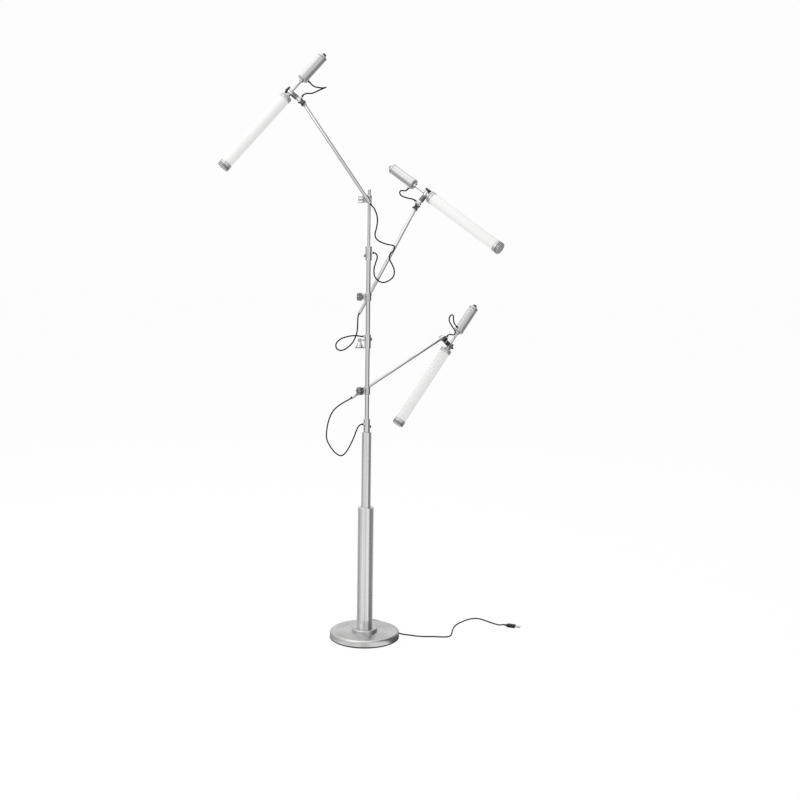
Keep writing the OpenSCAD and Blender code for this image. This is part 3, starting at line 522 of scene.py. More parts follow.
def collar(lv):
    """Turned collar with a bead round its top and a waist line near its foot, the lead's outlet,
    and a small knurled screw on the other side."""
    low, high = (v.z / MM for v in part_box(f"{lv}_swivel_collar"))
    r, bead, inner, outlet = COLLAR_R, COLLAR_R + 1, SPIGOT_R + FIT, OUTLET_Z[lv]
    ring = lathe([(inner, low), (r, low), (r, low + 5), (r - 0.5, low + 5), (r - 0.5, low + 6),
                  (r, low + 6), (r, high - 4.2), (r - 0.4, high - 4), (r - 0.4, high - 3),
                  (bead, high - 3), (bead, high), (MAST_R[lv], high),
                  (MAST_R[lv], low + COLLAR_STEP), (inner, low + COLLAR_STEP)], 0.45, 64, loop=True)
    screw = along_x(knurled(SIDE_SCREW_R, r - 1, r + 3.6, 12, 0.3, 72, 12))
    parts = [(ring, PLATE),
             *set_out([(nozzle(OUTLET_R, 0, OUTLET_OUT, edge=0.5), PLATE),
                       (boot(OUTLET_OUT, 5), RUBBER)], along_x, (0, 0, outlet), (-1, 1, 1)),
             (shifted(screw, (0, 0, outlet - SCREW_DROP)), KNURL)]
    if lv == "middle":
        lug = CONE_Z + CONE_H + GAP
        parts += [(shifted(pipe(6, SHANK_R + FIT, lug, lug + 6, 0.6), (-CONE_X, 0, 0)), FITTING),
                  (block((-CONE_X + 5, -3, lug + 0.3), (-8, 3, lug + 5.7), 0.8), FITTING)]
    make_piece(f"{lv}_collar_turned", parts, MAST[lv], f"{lv}_mast", [f"{lv}_swivel_collar"])


def collar_screw():
    """Conical thumbscrew: a cone with a rounded rim and a hollow foot, on a thin threaded shank."""
    low, top = CONE_Z, CONE_Z + CONE_H
    cone = lathe([(0, low + 3), (CONE_R - 2.5, low + 1.2), (CONE_R - 1.2, low), (CONE_R, low),
                  (CONE_R, low + 1.4), (CONE_TIP_R + 1.6, top - 2.4), (CONE_TIP_R, top), (0, top)],
                 0.7, 72, 4)
    end = top + 6.6
    head = lathe([(0, end), (4, end), (4, end + 1.6), (2.6, end + 2.5), (0, end + 2.5)], 0.5, 32, 4)
    parts = [(cone, PLATE), (knurled(CONE_R + 0.2, low + 0.2, low + 3, 40, 0.3, 160, 6), KNURL),
             (rod(SHANK_R, top - 1, top + 8, 0.3, 24), PLATE), (head, PLATE)]
    make_piece("middle_collar_cone", set_out(parts, by=(-CONE_X, 0, 0)), MAST["middle"],
               "collar_lock", ["middle_collar_screw"])


def mast(lv):
    """Mast tube with a rounded lip; the upper one ends in a small domed tip."""
    low, high = (v.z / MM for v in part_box(f"{lv}_mast_tube"))
    r, dome = MAST_R[lv], 2.6
    if lv == "upper":
        tube = turned(np.vstack([[(0, low), (r, low), (r, high - 4)],
                                 arc(r - dome, high - dome, dome, 0, 90, 6), [(0, high)]]))
    else:
        tube = pipe(r, r - 1.5, low, high)
    make_piece(f"{lv}_mast_section", [(tube, PLATE)], MAST[lv], f"{lv}_mast", [f"{lv}_mast_tube"])


CLAMP_WALL, CLAMP_H, JAW_W, BOSS_R, PIN_R, PIN_LEN = 3, 26, 11, 8, 4.5, 3.4
KNOB_R, KNOB_LEN, KNOB_NECK, GAP = 14, 21, 2.5, 0.3
KNOB_SIDE = {"upper": 1, "middle": -1, "lower": -1}


def clamp(lv):
    """Clamp round the mast, with a split jaw towards its six-lobed knob, and the boss that carries
    the arm."""
    inner, r, s = MAST_R[lv], MAST_R[lv] + CLAMP_WALL, KNOB_SIDE[lv]
    z = joint_at(f"{lv}_arm_tilt")[2] / MM
    half, face = CLAMP_H / 2, r + 1
    ring = lathe([(inner, -half), (r - 1.5, -half), (r, -half + 1.5), (r, half - 1.5),
                  (r - 1.5, half), (inner, half)], 0.5, loop=True)
    jaws = [mirrored(block((inner - 0.5, y0, -half + 1.5), (r + 5, y1, half - 1.5), 1.2), (s, 1, 1))
            for y0, y1 in ((-JAW_W / 2, -0.6), (0.6, JAW_W / 2))]
    boss = lathe([(0, inner + 0.5), (BOSS_R, inner + 0.5), (BOSS_R, face), (PIN_R, face),
                  (PIN_R, face + PIN_LEN), (0, face + PIN_LEN)], 0.6)
    parts = [(shape, FITTING) for shape in (ring, *jaws, along_y(boss))]
    make_piece(f"{lv}_clamp_body", set_out(parts, by=(0, 0, z)), MAST[lv], f"{lv}_mast",
               [f"{lv}_mast_clamp"])

    root = r + 5 + GAP
    start, end = root + KNOB_NECK, root + KNOB_LEN
    grip = rounded([(0, start), (0.78, start), (0.97, start + 2.5), (1, start + 5), (1, end - 5),
                    (0.95, end - 2.2), (0.7, end), (0.42, end), (0.36, end - 1), (0, end - 1)], 2.2)
    grip = turned(grip * [KNOB_R, 1], 120, lobes=lambda a: 0.84 + 0.16 * np.cos(6 * a))
    metal, slot = (FITTING, "polished_nickel") if lv == "upper" else (SMOKE, "dark_knob")
    parts = [(grip, metal), (rod(7, root, start + 0.5, 0.5), metal),
             (rod(3, inner + 0.5, start, 0.3, 24), PLATE)]
    make_piece(f"{lv}_clamp_grip", set_out(parts, along_x, (0, 0, z), (s, 1, 1)), MAST[lv],
               f"{lv}_clamp_screw", [f"{lv}_clamp_knob"])


ARM_LEN, ARM_R, ARM_OFFSET, SLEEVE_R, SLEEVE_LEN = 381, 5.25, 25, 8, 24
EYE_R, EYE_W, TONGUE, SCREW_R = 7.5, 7, 13, 3


def arm(lv):
    """Arm tube with a rolled tail, its clamp sleeve with a groove at each end, the boss that turns
    on the clamp's pin, and the flat end eye."""
    tail, end = ARM_LEN - REACH[lv], REACH[lv] - 12
    tube = lathe([(0, -tail + 3), (LEAD_HOLE, -tail + 3), (LEAD_HOLE, -tail), (ARM_R, -tail),
                  (ARM_R, end), (0, end)], 0.5, 40)
    half, r = SLEEVE_LEN / 2, SLEEVE_R
    rim = [(ARM_R - 0.4, 0), (r - 1, 0), (r, 1), (r, 4), (r - 0.5, 4.3), (r - 0.5, 5.2), (r, 5.5)]
    sleeve = lathe([(x, d - half) for x, d in rim] + [(x, half - d) for x, d in rim[::-1]], 0.3, 56,
                   loop=True)
    face = MAST_R[lv] + CLAMP_WALL + 1 + GAP - ARM_OFFSET
    bore, deep = PIN_R + FIT, face + PIN_LEN
    boss = lathe([(bore, face), (BOSS_R, face), (BOSS_R, -3), (0, -3), (0, deep), (bore, deep)],
                 0.4, loop=True)
    tip = lathe([(0, end - 1), (ARM_R + 0.8, end - 1), (ARM_R + 0.8, end + 3),
                 (ARM_R - 0.6, end + 5), (0, end + 5)], 0.6, 40)
    parts = [(along_x(tube), PLATE), (mirrored(along_x(boot(tail)), (-1, 1, 1)), RUBBER),
             (along_x(sleeve), FITTING), (along_y(boss), FITTING), (along_x(tip), FITTING)]
    turn = np.linalg.inv(ARM[lv][:, :3]) @ EYE[lv][:, :3]
    eye = [block((-TONGUE, -EYE_W / 2, -5.5), (-2, EYE_W / 2, 5.5), 0.8),
           along_y(pipe(EYE_R, SCREW_R + FIT, -EYE_W / 2, EYE_W / 2, 0.6))]
    parts += [((p @ turn.T + [REACH[lv], 0, 0], f), FITTING) for p, f in eye]
    make_piece(f"{lv}_arm_swing_tube", parts, ARM[lv], f"{lv}_arm", [f"{lv}_arm_tube"])


CROSS, BAR_R, CHEEK_IN, CHEEK_W, FORK_R = 52.5, 4, 3.8, 4.2, 8
ROOT_X, ROOT_LEN, ROOT_R, KNURL_R, NECK_W, NECK_R = 10.5, 7.5, 8.5, 8, 15, 9
INLET_X, INLET_R, INLET_Z, STAR_R, STAR_H, WASHER = 14.25, 3.5, 12.5, 13, 8, 1.2
KNURL_END = CROSS - NECK_W / 2 - GAP
NECK_END = CROSS + NECK_W / 2
CHEEK_OUT = CHEEK_IN + CHEEK_W


def star_grip(base, turn=0.0):
    """Star knob with four rounded arms on a round hub: the radius swings between hub and tip as
    hub + (tip - hub) (cos 2a)^2 to the power 1.6, and its rims are rounded."""
    top = base + STAR_H
    outline = rounded([(0, base), (0.86, base), (1, base + 2), (1, top - 3), (0.84, top - 1),
                       (0.4, top), (0.3, top - 0.8), (0, top - 0.8)], 1.4)
    return turned(outline * [STAR_R, 1], 144,
                  lobes=lambda a: 0.5 + 0.5 * (np.cos(2 * (a - turn)) ** 2) ** 1.6)


def head_swivel(lv):
    """Fork on the arm's eye, its root, the knurled sleeve, the crossbar and the lead's inlet."""
    cheek = [along_y(pipe(FORK_R, SCREW_R + FIT, CHEEK_IN, CHEEK_OUT, 0.7, 56)),
             block((2.5, CHEEK_IN, -FORK_R), (ROOT_X + 2, CHEEK_OUT, FORK_R), 0.7)]
    parts = [(mirrored(c, (1, side, 1)), FITTING) for side in (-1, 1) for c in cheek]
    end, start = ROOT_X + ROOT_LEN, max(ROOT_X + ROOT_LEN, KNURL_END - 22)
    root = lathe([(0, ROOT_X), (ROOT_R, ROOT_X), (ROOT_R, end - 0.6), (BAR_R + 2, end), (0, end)],
                 0.8, 56)
    star = NECK_END + GAP
    parts += set_out([
        (root, FITTING), (rod(BAR_R + 2, ROOT_X, start + 1), FITTING),
        (knurled(KNURL_R, start + 1.2, KNURL_END - 1.6), KNURL),
        (rod(KNURL_R - 0.4, start, start + 1.3), PLATE),
        (rod(KNURL_R - 0.4, KNURL_END - 1.7, KNURL_END), PLATE),
        (rod(BAR_R, ROOT_X, star + WASHER + STAR_H - 2, 0.4, 32), PLATE)], along_x)
    parts += set_out([(nozzle(INLET_R, 5, INLET_Z), FITTING), (boot(INLET_Z), RUBBER)],
                     by=(INLET_X, 0, 0))
    make_piece(f"{lv}_head_fork", parts, HEAD[lv], f"{lv}_head", [f"{lv}_head_swivel"])

    side = CHEEK_OUT + GAP
    parts = [(star_grip(side + WASHER, math.pi / 4), KNOB), (rod(5, side, side + 1.3, 0.3), KNOB),
             (rod(SCREW_R, -side - 1.4, side + 1, 0.3, 24), PLATE),
             (rod(4.5, -side - 1.4, -side, 0.4, 6), KNOB)]
    make_piece(f"{lv}_pivot_star", set_out(parts, along_y, signs=(1, KNOB_SIDE[lv], 1)), HEAD[lv],
               f"{lv}_pivot_lock", [f"{lv}_pivot_screw"])

    parts = [(star_grip(star + WASHER), KNOB), (rod(7, star, star + 1.3, 0.3), KNOB)]
    make_piece(f"{lv}_neck_star", set_out(parts, along_x), HEAD[lv], f"{lv}_neck_lock",
               [f"{lv}_neck_knob"])


ROD_R, HOUSING_Z, HOUSING_LEN, HOUSING_R = 4.5, 56, 101, 15.5
HOLDER_Z, PLATE_H, SOCKET_H, SOCKET_WALL = 16, 4, 10, 1.5
GLASS_R, GLASS_WALL, GLASS_LEN, CAP_H, DIMMER_R, DIMMER_H = 17.75, 1.6, 292, 20, 6.5, 8
ENTRY_Z, ENTRY_X = HOUSING_Z + 8, HOUSING_R + 3
CAP_GROOVES, GROOVE_W = (3, 7.5), 2.4
GLASS_TOP = -HOLDER_Z - PLATE_H
GLASS_END = GLASS_TOP - GLASS_LEN
SOCKET_R = GLASS_R + SOCKET_WALL


def lamp(lv):
    """Lamp on its crossbar: neck block and rod, glass holder, brushed housing with a dimmer knob,
    frosted glass tube with its light core, and the grooved end cap."""
    at, body, half, r = LAMP[lv], f"{lv}_lamp", NECK_W / 2, NECK_R
    low, top = HOUSING_Z, HOUSING_Z + HOUSING_LEN
    neck = lathe([(BAR_R + FIT, -half), (r - 0.8, -half), (r, -half + 0.8), (r, half - 0.8),
                  (r - 0.8, half), (BAR_R + FIT, half)], 0.4, 56, loop=True)
    rise = lathe([(0, 5), (ROD_R, 5), (ROD_R, low + 4), (0, low + 4)], 0.4, 32)
    band = lathe([(0, low - 9), (ROD_R + 2.4, low - 9), (ROD_R + 3.4, low - 8),
                  (ROD_R + 3.4, low - 0.5), (0, low - 0.5)], 0.6)
    drop = lathe([(0, -5), (7, -5), (7, -HOLDER_Z - 0.5), (0, -HOLDER_Z - 0.5)], 0.3, 40, 2)
    r, rim, edge = SOCKET_R, GLASS_TOP - SOCKET_H, GLASS_TOP - 1
    holder = lathe([(0, -HOLDER_Z), (r - 3, -HOLDER_Z), (r, -HOLDER_Z - 1.6), (r, edge),
                    (r - 0.6, edge - 0.3), (r - 0.6, edge - 1.4), (r, edge - 1.7), (r, rim),
                    (GLASS_R, rim), (GLASS_R, GLASS_TOP), (0, GLASS_TOP)], 0.4, 64)
    # A near-black ring in the holder's groove: painted shade
    line = pipe(r - 0.45, GLASS_R + 0.2, edge - 1.5, edge - 0.2, 0.1)
    parts = [(along_x(neck), FITTING), (rise, PLATE), (band, FITTING), (drop, FITTING),
             (holder, HOUSING), (line, GROOVE_SHADE)]
    make_piece(f"{lv}_neck_and_holder", parts, at, body, [f"{lv}_lamp_neck"])

    r = HOUSING_R
    shell = rounded([(ROD_R, low), (r + 0.9, low), (r + 1.5, low + 0.8), (r + 1.5, low + 4.6),
                     (r, low + 5.2), (r, top - 9), (r - 0.5, top - 8.8), (r - 0.5, top - 7.8),
                     (r, top - 7.6), (r, top - 1.5), (r - 1.5, top), (3.2, top)], 0.5)
    shell = np.vstack([shell, [(3.2, top - 2), (ROD_R, top - 2), (ROD_R, low + 2)]])
    parts = [(turned(shell, 72, loop=True), HOUSING),
             # A near-black ring in the housing's groove: painted shade
             (pipe(r - 0.35, r - 1.2, top - 8.9, top - 7.7, 0.1), GROOVE_SHADE),
             *set_out([(nozzle(INLET_R, 8, ENTRY_X, 1.5), FITTING), (boot(ENTRY_X), RUBBER)],
                      along_x, (0, 0, ENTRY_Z), (-1, 1, 1))]
    make_piece(f"{lv}_housing_shell", parts, at, body, [f"{lv}_lamp_housing"])

    base, r = top + GAP, DIMMER_R
    top = base + DIMMER_H
    knob = lathe([(0, base - 10), (4.5, base - 10), (4.5, base - 4.6), (3, base - 4.6),
                  (3, base - 0.2), (r - 0.6, base), (r, base + 0.8), (r, top - 1.4), (r - 1.2, top),
                  (0, top)], 0.4, 120, lobes=lambda a: 0.975 + 0.025 * np.cos(20 * a))
    mark = block((2.4, -0.4, top - 0.3), (r - 1.4, 0.4, top + 0.02), 0.1)
    make_piece(f"{lv}_dimmer_grip", [(knob, KNOB), (mark, PLATE)], at, f"{lv}_dimmer",
               [f"{lv}_dimmer_knob"])

    tube = pipe(GLASS_R, GLASS_R - GLASS_WALL, GLASS_END, GLASS_TOP, 0.5, 72)
    shape = [(tube, GLASS)]
    make_piece(f"{lv}_frosted_tube", shape, at, body, [f"{lv}_lamp_glass"])
    dress(f"{lv}_light_core", CORE)

    foot, r = GLASS_END + SOCKET_H - CAP_H, SOCKET_R
    rim = foot + CAP_H
    steps = [(r - step, foot + z + dz) for z in CAP_GROOVES
             for step, dz in ((0, 0), (0.8, 0.1), (0.8, GROOVE_W - 0.1), (0, GROOVE_W))]
    cap = lathe([(0, foot), (r - 2.2, foot), (r, foot + 1.8), *steps, (r, rim), (GLASS_R, rim),
                 (GLASS_R, GLASS_END), (0, GLASS_END)], 0.35, 72)
    parts = [(cap, HOUSING)]
    # A near-black ring in each groove of the cap: painted shade
    for z in CAP_GROOVES:
        ends = foot + z + 0.05, foot + z + GROOVE_W - 0.05
        parts.append((pipe(r - 0.6, r - 1.6, *ends, 0.1, 72), GROOVE_SHADE))
    make_piece(f"{lv}_grooved_cap", parts, at, body, [f"{lv}_end_cap"])


# Leads and mains cord

# The points that each lead follows, the same as in the solids' source, in mm in the frame of its
# mast section
ARM_LEAD_POINTS = {
    "upper": [
        (-23, 23, 1397), (-30, 19, 1378), (-32, 17, 1361), (-29, 17, 1338), (-25, 17, 1322),
        (-26, 16, 1309), (-34, 13, 1299), (-47, 8, 1292), (-63, 3, 1287), (-76, -2, 1285),
        (-83, -4, 1280), (-80, -4, 1270), (-71, -2, 1258), (-67, -2, 1246), (-71, -3, 1234),
        (-77, -5, 1222), (-82, -7, 1208), (-82, -7, 1194), (-77, -6, 1183), (-66, -4, 1174),
        (-52, -1, 1168), (-38, 2, 1170), (-28, 4, 1178), (-21, 5, 1189), (-19, 4, 1202),
        (-20, 3, 1216), (-24, 2, 1230), (-28, 1, 1243), (-27, 0, 1253)],
    "middle": [
        (-33, 24, 1051), (-33, 23, 1038), (-34, 22, 1014), (-38, 20, 996), (-47, 18, 976),
        (-58, 16, 963), (-73, 14, 952), (-88, 12, 948), (-99, 10, 954), (-102, 8, 964),
        (-98, 7, 975), (-85, 5, 986), (-70, 4, 992), (-53, 2, 996), (-36, 1, 997)],
    "lower": [
        (-56, 25, 790), (-67, 25, 785), (-83, 27, 776), (-101, 30, 762), (-114, 32, 742),
        (-122, 34, 717), (-126, 35, 692), (-126, 35, 669), (-119, 33, 650), (-106, 28, 629),
        (-93, 25, 616), (-80, 22, 611), (-68, 19, 618), (-54, 15, 640), (-42, 11, 667),
        (-34, 7, 691), (-28, 3, 706)],
}
# The same for the leads of the heads, in the frame of the head
HEAD_LEAD_POINTS = {
    "upper": [
        (10, -1, 27), (4, -4, 33), (-3, -8, 39), (-8, -12, 48), (-13, -14, 58), (-18, -15, 67),
        (-22, -18, 75), (-22, -27, 79), (-18, -34, 76), (-11, -36, 70), (-3, -34, 65), (6, -30, 60),
        (14, -26, 58), (21, -23, 59)],
    "middle": [
        (12, 4, 27), (8, 11, 35), (5, 19, 43), (2, 27, 52), (1, 34, 62), (6, 39, 70), (13, 38, 70),
        (18, 35, 63), (22, 32, 58)],
    "lower": [
        (19, 1, 26), (28, 3, 30), (37, 4, 34), (42, 5, 40), (39, 6, 47), (29, 7, 50), (17, 8, 51),
        (4, 8, 53), (-10, 8, 55), (-22, 9, 60), (-28, 10, 69), (-24, 11, 78), (-15, 11, 79),
        (-4, 11, 72), (7, 10, 66), (18, 10, 64)],
}
STRAIGHT = 1.6 * CORD_D


def to_frame(point, at):
    """A point in metres as millimetres in a frame."""
    return np.linalg.inv(at[:, :3]) @ (point - at[:, 3]) / MM


def lead(name, line, at, node):
    """A slack lead that goes from one fitting to the next and bends between the two bodies."""
    piece = make_piece(name, [(cord_tube(line, CORD_R), SHEATH)], at, None, [node])
    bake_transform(piece)


def arm_lead(lv):
    """The lead from the arm's tail to its collar, which follows the arm near the tail only."""
    tail = to_frame(moved((REACH[lv] - ARM_LEN, 0, 0), ARM[lv]), MAST[lv])
    back = unit(np.linalg.inv(MAST[lv][:, :3]) @ -ARM[lv][:, 0])
    outlet = np.array([-OUTLET_OUT, 0, OUTLET_Z[lv]])
    line = smooth_line([tail, tail + STRAIGHT * back, *ARM_LEAD_POINTS[lv],
                        outlet - [STRAIGHT, 0, 0], outlet])
    lead(f"{lv}_arm_slack_lead", line, MAST[lv], f"{lv}_arm_lead")


def head_lead(lv):
    """The lead from the head's inlet to the housing of its lamp."""
    start = np.array([INLET_X, 0, INLET_Z])
    entry = to_frame(moved((-ENTRY_X, 0, ENTRY_Z), LAMP[lv]), HEAD[lv])
    line = smooth_line([start, start + [0, 0, STRAIGHT], *HEAD_LEAD_POINTS[lv],
                        entry - [STRAIGHT, 0, 0], entry])
    lead(f"{lv}_head_slack_lead", line, HEAD[lv], f"{lv}_head_lead")


# Mains cord, as in the solids' source
STRAND = CORD_D + 0.8
FOLD_R, HANK_RUN, HANK_TURNS, HANK_WAIST, CLIMB, HANK_Y = 13.2, 80, 2, 4, 0.3, 222
TURN_STEPS, TIE_T, TIE_W = 48, 0.8, 8
HANK_END = 2 * HANK_TURNS + 0.9
GLAND_X, GLAND_R, RELIEF = FOLD_R + HANK_TURNS * STRAND, 4.5, 20
GLAND_Z = PAD_H + GLAND_R + 0.5
RIM_Y = math.sqrt(BASE_R ** 2 - GLAND_X ** 2)
HANK_Z = CORD_R + TIE_T
FLOOR_POINTS = [(26, 156, 8), (42, 153, 7), (60, 143, 4.5)] + [(x, y, CORD_R) for x, y in (
    (76, 128), (90, 110), (101, 90), (108, 70), (112, 50), (117, 34), (130, 24), (150, 17),
    (172, 8), (200, 3), (230, 3), (256, 0), (274, 2), (286, 14), (291, 34), (295, 62), (302, 94),
    (314, 127), (334, 157), (356, 182), (380, 196), (402, 190), (420, 170), (440, 145), (460, 127))]
PLUG_AT, PLUG_DIR = np.array([478, 119, CORD_R + 3.3]), unit([18, -8, 0])


def hank_width(n):
    """Half the distance between the hank's runs, by its turn n."""
    return FOLD_R + STRAND * np.where(n < HANK_TURNS, HANK_TURNS - n,
                                      np.maximum(n - HANK_TURNS - CLIMB, 0))


def hank_point(n):
    """The hank's line by its turn n: a straight run (0.3 of the turn), a half circle (0.2), the run
    back and a half circle, drawn in at the tie, inwards over the lower layer and outwards again
    over the upper one."""
    n = np.asarray(n, float)
    f = n - np.floor(n)
    w = hank_width(n)
    spans = [f < 0.3, f < 0.5, f < 0.8]
    part = np.select(spans, [f / 0.3, 1.0, (0.8 - f) / 0.3], 0.0)
    draw = HANK_WAIST * np.cos(math.pi / 2 * (2 * part - 1)) ** 2
    a = np.select(spans, [0.0, math.pi * (f - 0.3) / 0.2, math.pi],
                  math.pi + math.pi * (f - 0.8) / 0.2)
    z = HANK_Z + STRAND * np.clip((n - HANK_TURNS) / CLIMB, 0, 1)
    y = HANK_Y + HANK_RUN * (part - 0.5) + w * np.sin(a)
    return np.stack([(w - draw) * np.cos(a), y, z], -1)


def mains_line():
    """The mains cord's line: out of the relief, down to the floor, round the hank and away."""
    x, y = GLAND_X, RIM_Y + RELIEF
    start = [(x, y, GLAND_Z), (x, y + CORD_D, GLAND_Z), (x, y + 12, GLAND_Z - 2.2),
             (x, y + 20, HANK_Z + 0.3), (x, y + 28, HANK_Z), (x, y + 38, HANK_Z)]
    turns = hank_point(np.arange(0, math.floor(HANK_END * TURN_STEPS) + 1) / TURN_STEPS)
    out = hank_point(HANK_END)
    free = smooth_line([out + [CORD_D, 0, 0], out + [2.6 * CORD_D, 0, 0], *FLOOR_POINTS,
                        PLUG_AT - STRAIGHT * PLUG_DIR, PLUG_AT])
    free[:, 2] = np.maximum(free[:, 2], CORD_R)
    line = np.vstack([smooth_line(start, 3), turns, out, free])
    return line[np.r_[True, np.linalg.norm(np.diff(line, axis=0), axis=1) > 0.3]]


def hank_tie():
    """The flat rubber tie round the hank: a closed band whose outline has round corners."""
    wide = float(hank_width(2 * HANK_TURNS + 0.65)) - HANK_WAIST + CORD_R + GAP
    tall = (CORD_D + STRAND + GAP) / 2
    a, corner, edge = angles(96), 2.6, TIE_W / 2
    cx = np.sign(np.cos(a)) * (wide + TIE_T - corner)
    cz = np.sign(np.sin(a)) * (tall + TIE_T - corner)
    rows = []
    for inset, y in ((0.9 * TIE_T, -edge), (0.3, -edge), (0, 0.35 - edge), (0, edge - 0.35),
                     (0.3, edge), (0.9 * TIE_T, edge)):
        r = corner - inset
        rows.append(np.stack([cx + r * np.cos(a), np.full(len(a), HANK_Y + y),
                              cz + r * np.sin(a) + tall + TIE_T], -1))
    return np.vstack(rows), grid_faces(len(rows), len(a), True)


def mains_cord():
    """The mains cord with its strain relief, the hank's tie and the plug."""
    line = mains_line()
    cord = make_piece("mains_cord", [(cord_tube(line, CORD_R), SHEATH)], FLOOR, "base",
                      ["mains_hank", "mains_lead"])

    r, y = GLAND_R, RIM_Y
    cone = lathe([(0, y - 14), (r, y - 14), (r, y + 2), (2.9, y + RELIEF), (0, y + RELIEF)],
                 0.4, 40)
    ribs = [pipe(r + 0.1 - 0.085 * d, 2.3, y + d, y + d + 1.4, 0.3) for d in range(3, 17, 3)]
    parts = set_out([(shape, RUBBER) for shape in (cone, *ribs)], along_y, (GLAND_X, 0, GLAND_Z))
    make_piece("mains_strain_relief", parts, FLOOR, "base", ["mains_gland"])
    tie = [(hank_tie(), RUBBER)]
    make_piece("hank_rubber_tie", tie, FLOOR, "base", ["hank_tie"])

    at = frame_of(PLUG_DIR, np.cross(UP, PLUG_DIR), UP, PLUG_AT * MM)
    neck = lathe([(0, 0), (2.9, 0), (3.45, 3), (3.45, 9), (0, 9)], 0.6, 32)
    pin = along_x(lathe([(0, 36), (2, 36), (2, 53.5), (1.3, 55), (0, 55)], 0.5, 24))
    parts = [(along_x(neck), PLUG), (block((8, -8, -5.5), (38, 8, 5.5), 3.2, 5), PLUG)]
    parts += [(shifted(pin, (0, y, 0)), PINS) for y in (-4, 4)]
    plug = make_piece("mains_two_pin_plug", parts, at, "base", ["mains_plug"])


mains_cord()
for lv in LEVELS:
    arm_lead(lv)
    head_lead(lv)
    collar(lv)
    mast(lv)
    clamp(lv)
    arm(lv)
    head_swivel(lv)
    lamp(lv)
collar_screw()
base_pieces()


# Floor, light and world

# Grey of the studio's walls by heading: 0 and 1 are behind the camera, 0.25 is left of the lamp,
# 0.5 behind it and 0.75 right of it. The dark spans are black cards, which give polished tubes
# their lines.
WALLS = ((0.0, 0.55), (0.035, 1.0), (0.065, 0.75), (0.12, 0.95), (0.17, 0.65), (0.24, 0.35),
         (0.32, 0.2), (0.4, 0.65), (0.5, 0.8), (0.57, 0.7), (0.65, 0.3), (0.71, 0.06), (0.8, 0.03),
         (0.84, 0.06), (0.868, 1.0), (0.95, 1.0), (0.975, 0.8), (1.0, 0.55))
# Grey levels overhead, of the light on matt surfaces and of the background, and the share of the
# floor that the camera sees unlit
OVERHEAD, SOFT_LIGHT, BACKGROUND, FLOOR_SEEN = 0.72, 0.78, 0.98, 0.9


def grey(level):
    return (level, level, level, 1)


def studio_walls(tree, x, y):
    """The walls' grey at a heading, given by the sockets of its two horizontal parts."""
    heading = put(tree, "Math", {0: x, 1: y}, operation="ARCTAN2")
    part = put(tree, "MapRange", {0: heading.outputs[0], 1: -math.pi, 2: math.pi})
    walls = put(tree, "ValToRGB", {0: part.outputs[0]})
    stops = walls.color_ramp.elements
    for spot, _ in WALLS[1:-1]:
        stops.new(spot)
    for stop, (spot, level) in zip(stops, WALLS):
        stop.position, stop.color = spot, grey(level)
    return walls.outputs[0]


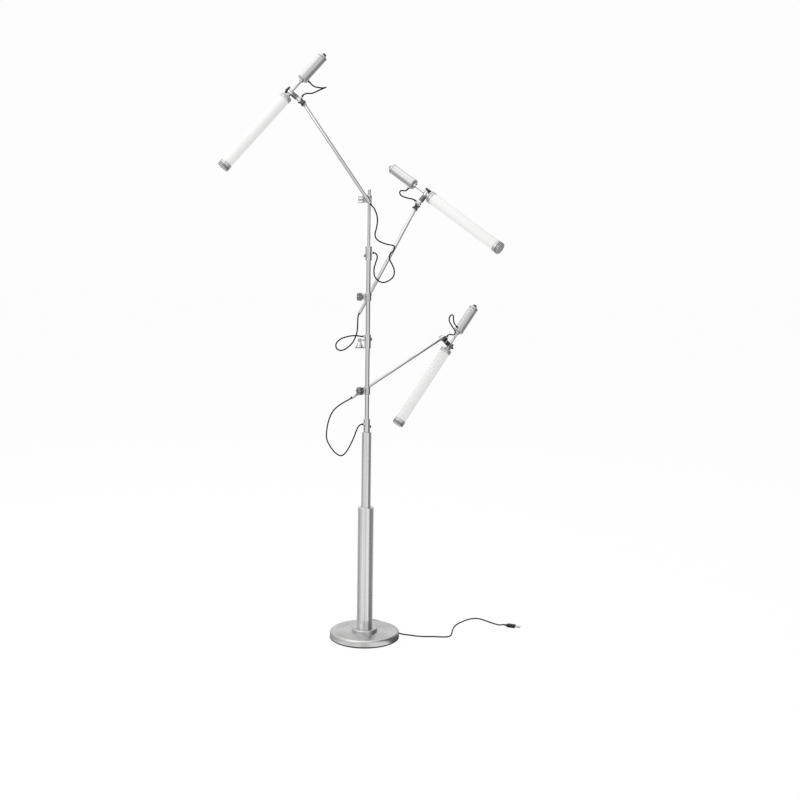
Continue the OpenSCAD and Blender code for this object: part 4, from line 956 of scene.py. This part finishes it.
def add_stage():
    """A large pale floor. The camera and glass see mostly its own white, and metal the walls'
    greys. The rest of it is lit, so that the lamp keeps its soft shadow."""
    data = bpy.data.meshes.new("studio_floor")
    corners = [(-30, -30, 0), (30, -30, 0), (30, 30, 0), (-30, 30, 0)]
    data.from_pydata(corners, [], [(0, 1, 2, 3)])
    material = bpy.data.materials.new("white_paper_floor")
    tree = bare_tree(material)
    rays = put(tree, "LightPath").outputs
    glossy = rays["Is Glossy Ray"]
    spot = put(tree, "TexCoord").outputs["Object"]
    x, y, _ = put(tree, "SeparateXYZ", {0: spot}).outputs
    tone = put(tree, "Mix", {0: glossy, 6: grey(1), 7: studio_walls(tree, x, y)}, data_type="RGBA")
    seen = put(tree, "Math", {0: rays["Is Camera Ray"], 1: glossy}, operation="MAXIMUM")
    seen = put(tree, "Math", {0: seen.outputs[0], 1: rays["Is Transmission Ray"]},
               operation="MAXIMUM")
    share = put(tree, "Math", {0: seen.outputs[0], 1: FLOOR_SEEN}, operation="MULTIPLY")
    paper = put(tree, "BsdfDiffuse", {"Color": grey(1)})
    glow = put(tree, "Emission", {"Color": tone.outputs[2], "Strength": 1.0})
    both = put(tree, "MixShader", {0: share.outputs[0], 1: paper.outputs[0], 2: glow.outputs[0]})
    put(tree, "OutputMaterial", {"Surface": both.outputs[0]})
    data.materials.append(material)
    placed("studio_floor", data)


def add_world():
    """A white studio: plain white for the camera and a plain soft light on all that is matt. Metal
    shows the walls' greys near the horizon, higher up on the right, and a pale grey overhead."""
    world = bpy.data.worlds.new("studio")
    bpy.context.scene.world = world
    tree = bare_tree(world)
    way = put(tree, "TexCoord").outputs["Generated"]
    x, y, z = put(tree, "SeparateXYZ", {0: way}).outputs
    lean = put(tree, "Math", {0: x, 1: -0.6, 2: z}, operation="MULTIPLY_ADD").outputs[0]
    above = put(tree, "MapRange", {0: lean, 1: 0.35, 2: 0.8}).outputs[0]
    room = put(tree, "Mix", {0: above, 6: studio_walls(tree, x, y), 7: grey(OVERHEAD)},
               data_type="RGBA").outputs[2]
    rays = put(tree, "LightPath").outputs
    light = put(tree, "Mix", {0: rays["Is Glossy Ray"], 6: grey(SOFT_LIGHT), 7: room},
                data_type="RGBA").outputs[2]
    seen = put(tree, "Math", {0: rays["Is Camera Ray"], 1: rays["Is Transmission Ray"]},
               operation="MAXIMUM").outputs[0]
    colour = put(tree, "Mix", {0: seen, 6: light, 7: grey(BACKGROUND)}, data_type="RGBA")
    sky = put(tree, "Background", {"Color": colour.outputs[2], "Strength": 1.0})
    put(tree, "OutputWorld", {"Surface": sky.outputs[0]})


def add_lamp(name, at, target, size, power):
    """A square softbox that faces its target."""
    data = bpy.data.lights.new(name, "AREA")
    data.shape, data.size, data.energy = "SQUARE", size, power
    light = placed(name, data)
    light.location = at
    light.rotation_mode = "QUATERNION"
    light.rotation_quaternion = (Vector(target) - Vector(at)).to_track_quat("-Z", "Y")


add_stage()
add_world()
add_lamp("key_softbox", (-2.4, -2.2, 3.0), (0, 0, 0.8), 2.8, 33)
add_lamp("top_softbox", (-0.5, 0.7, 3.6), (0, 0, 0.6), 2.8, 27)
bpy.context.scene.view_settings.view_transform = "Standard"
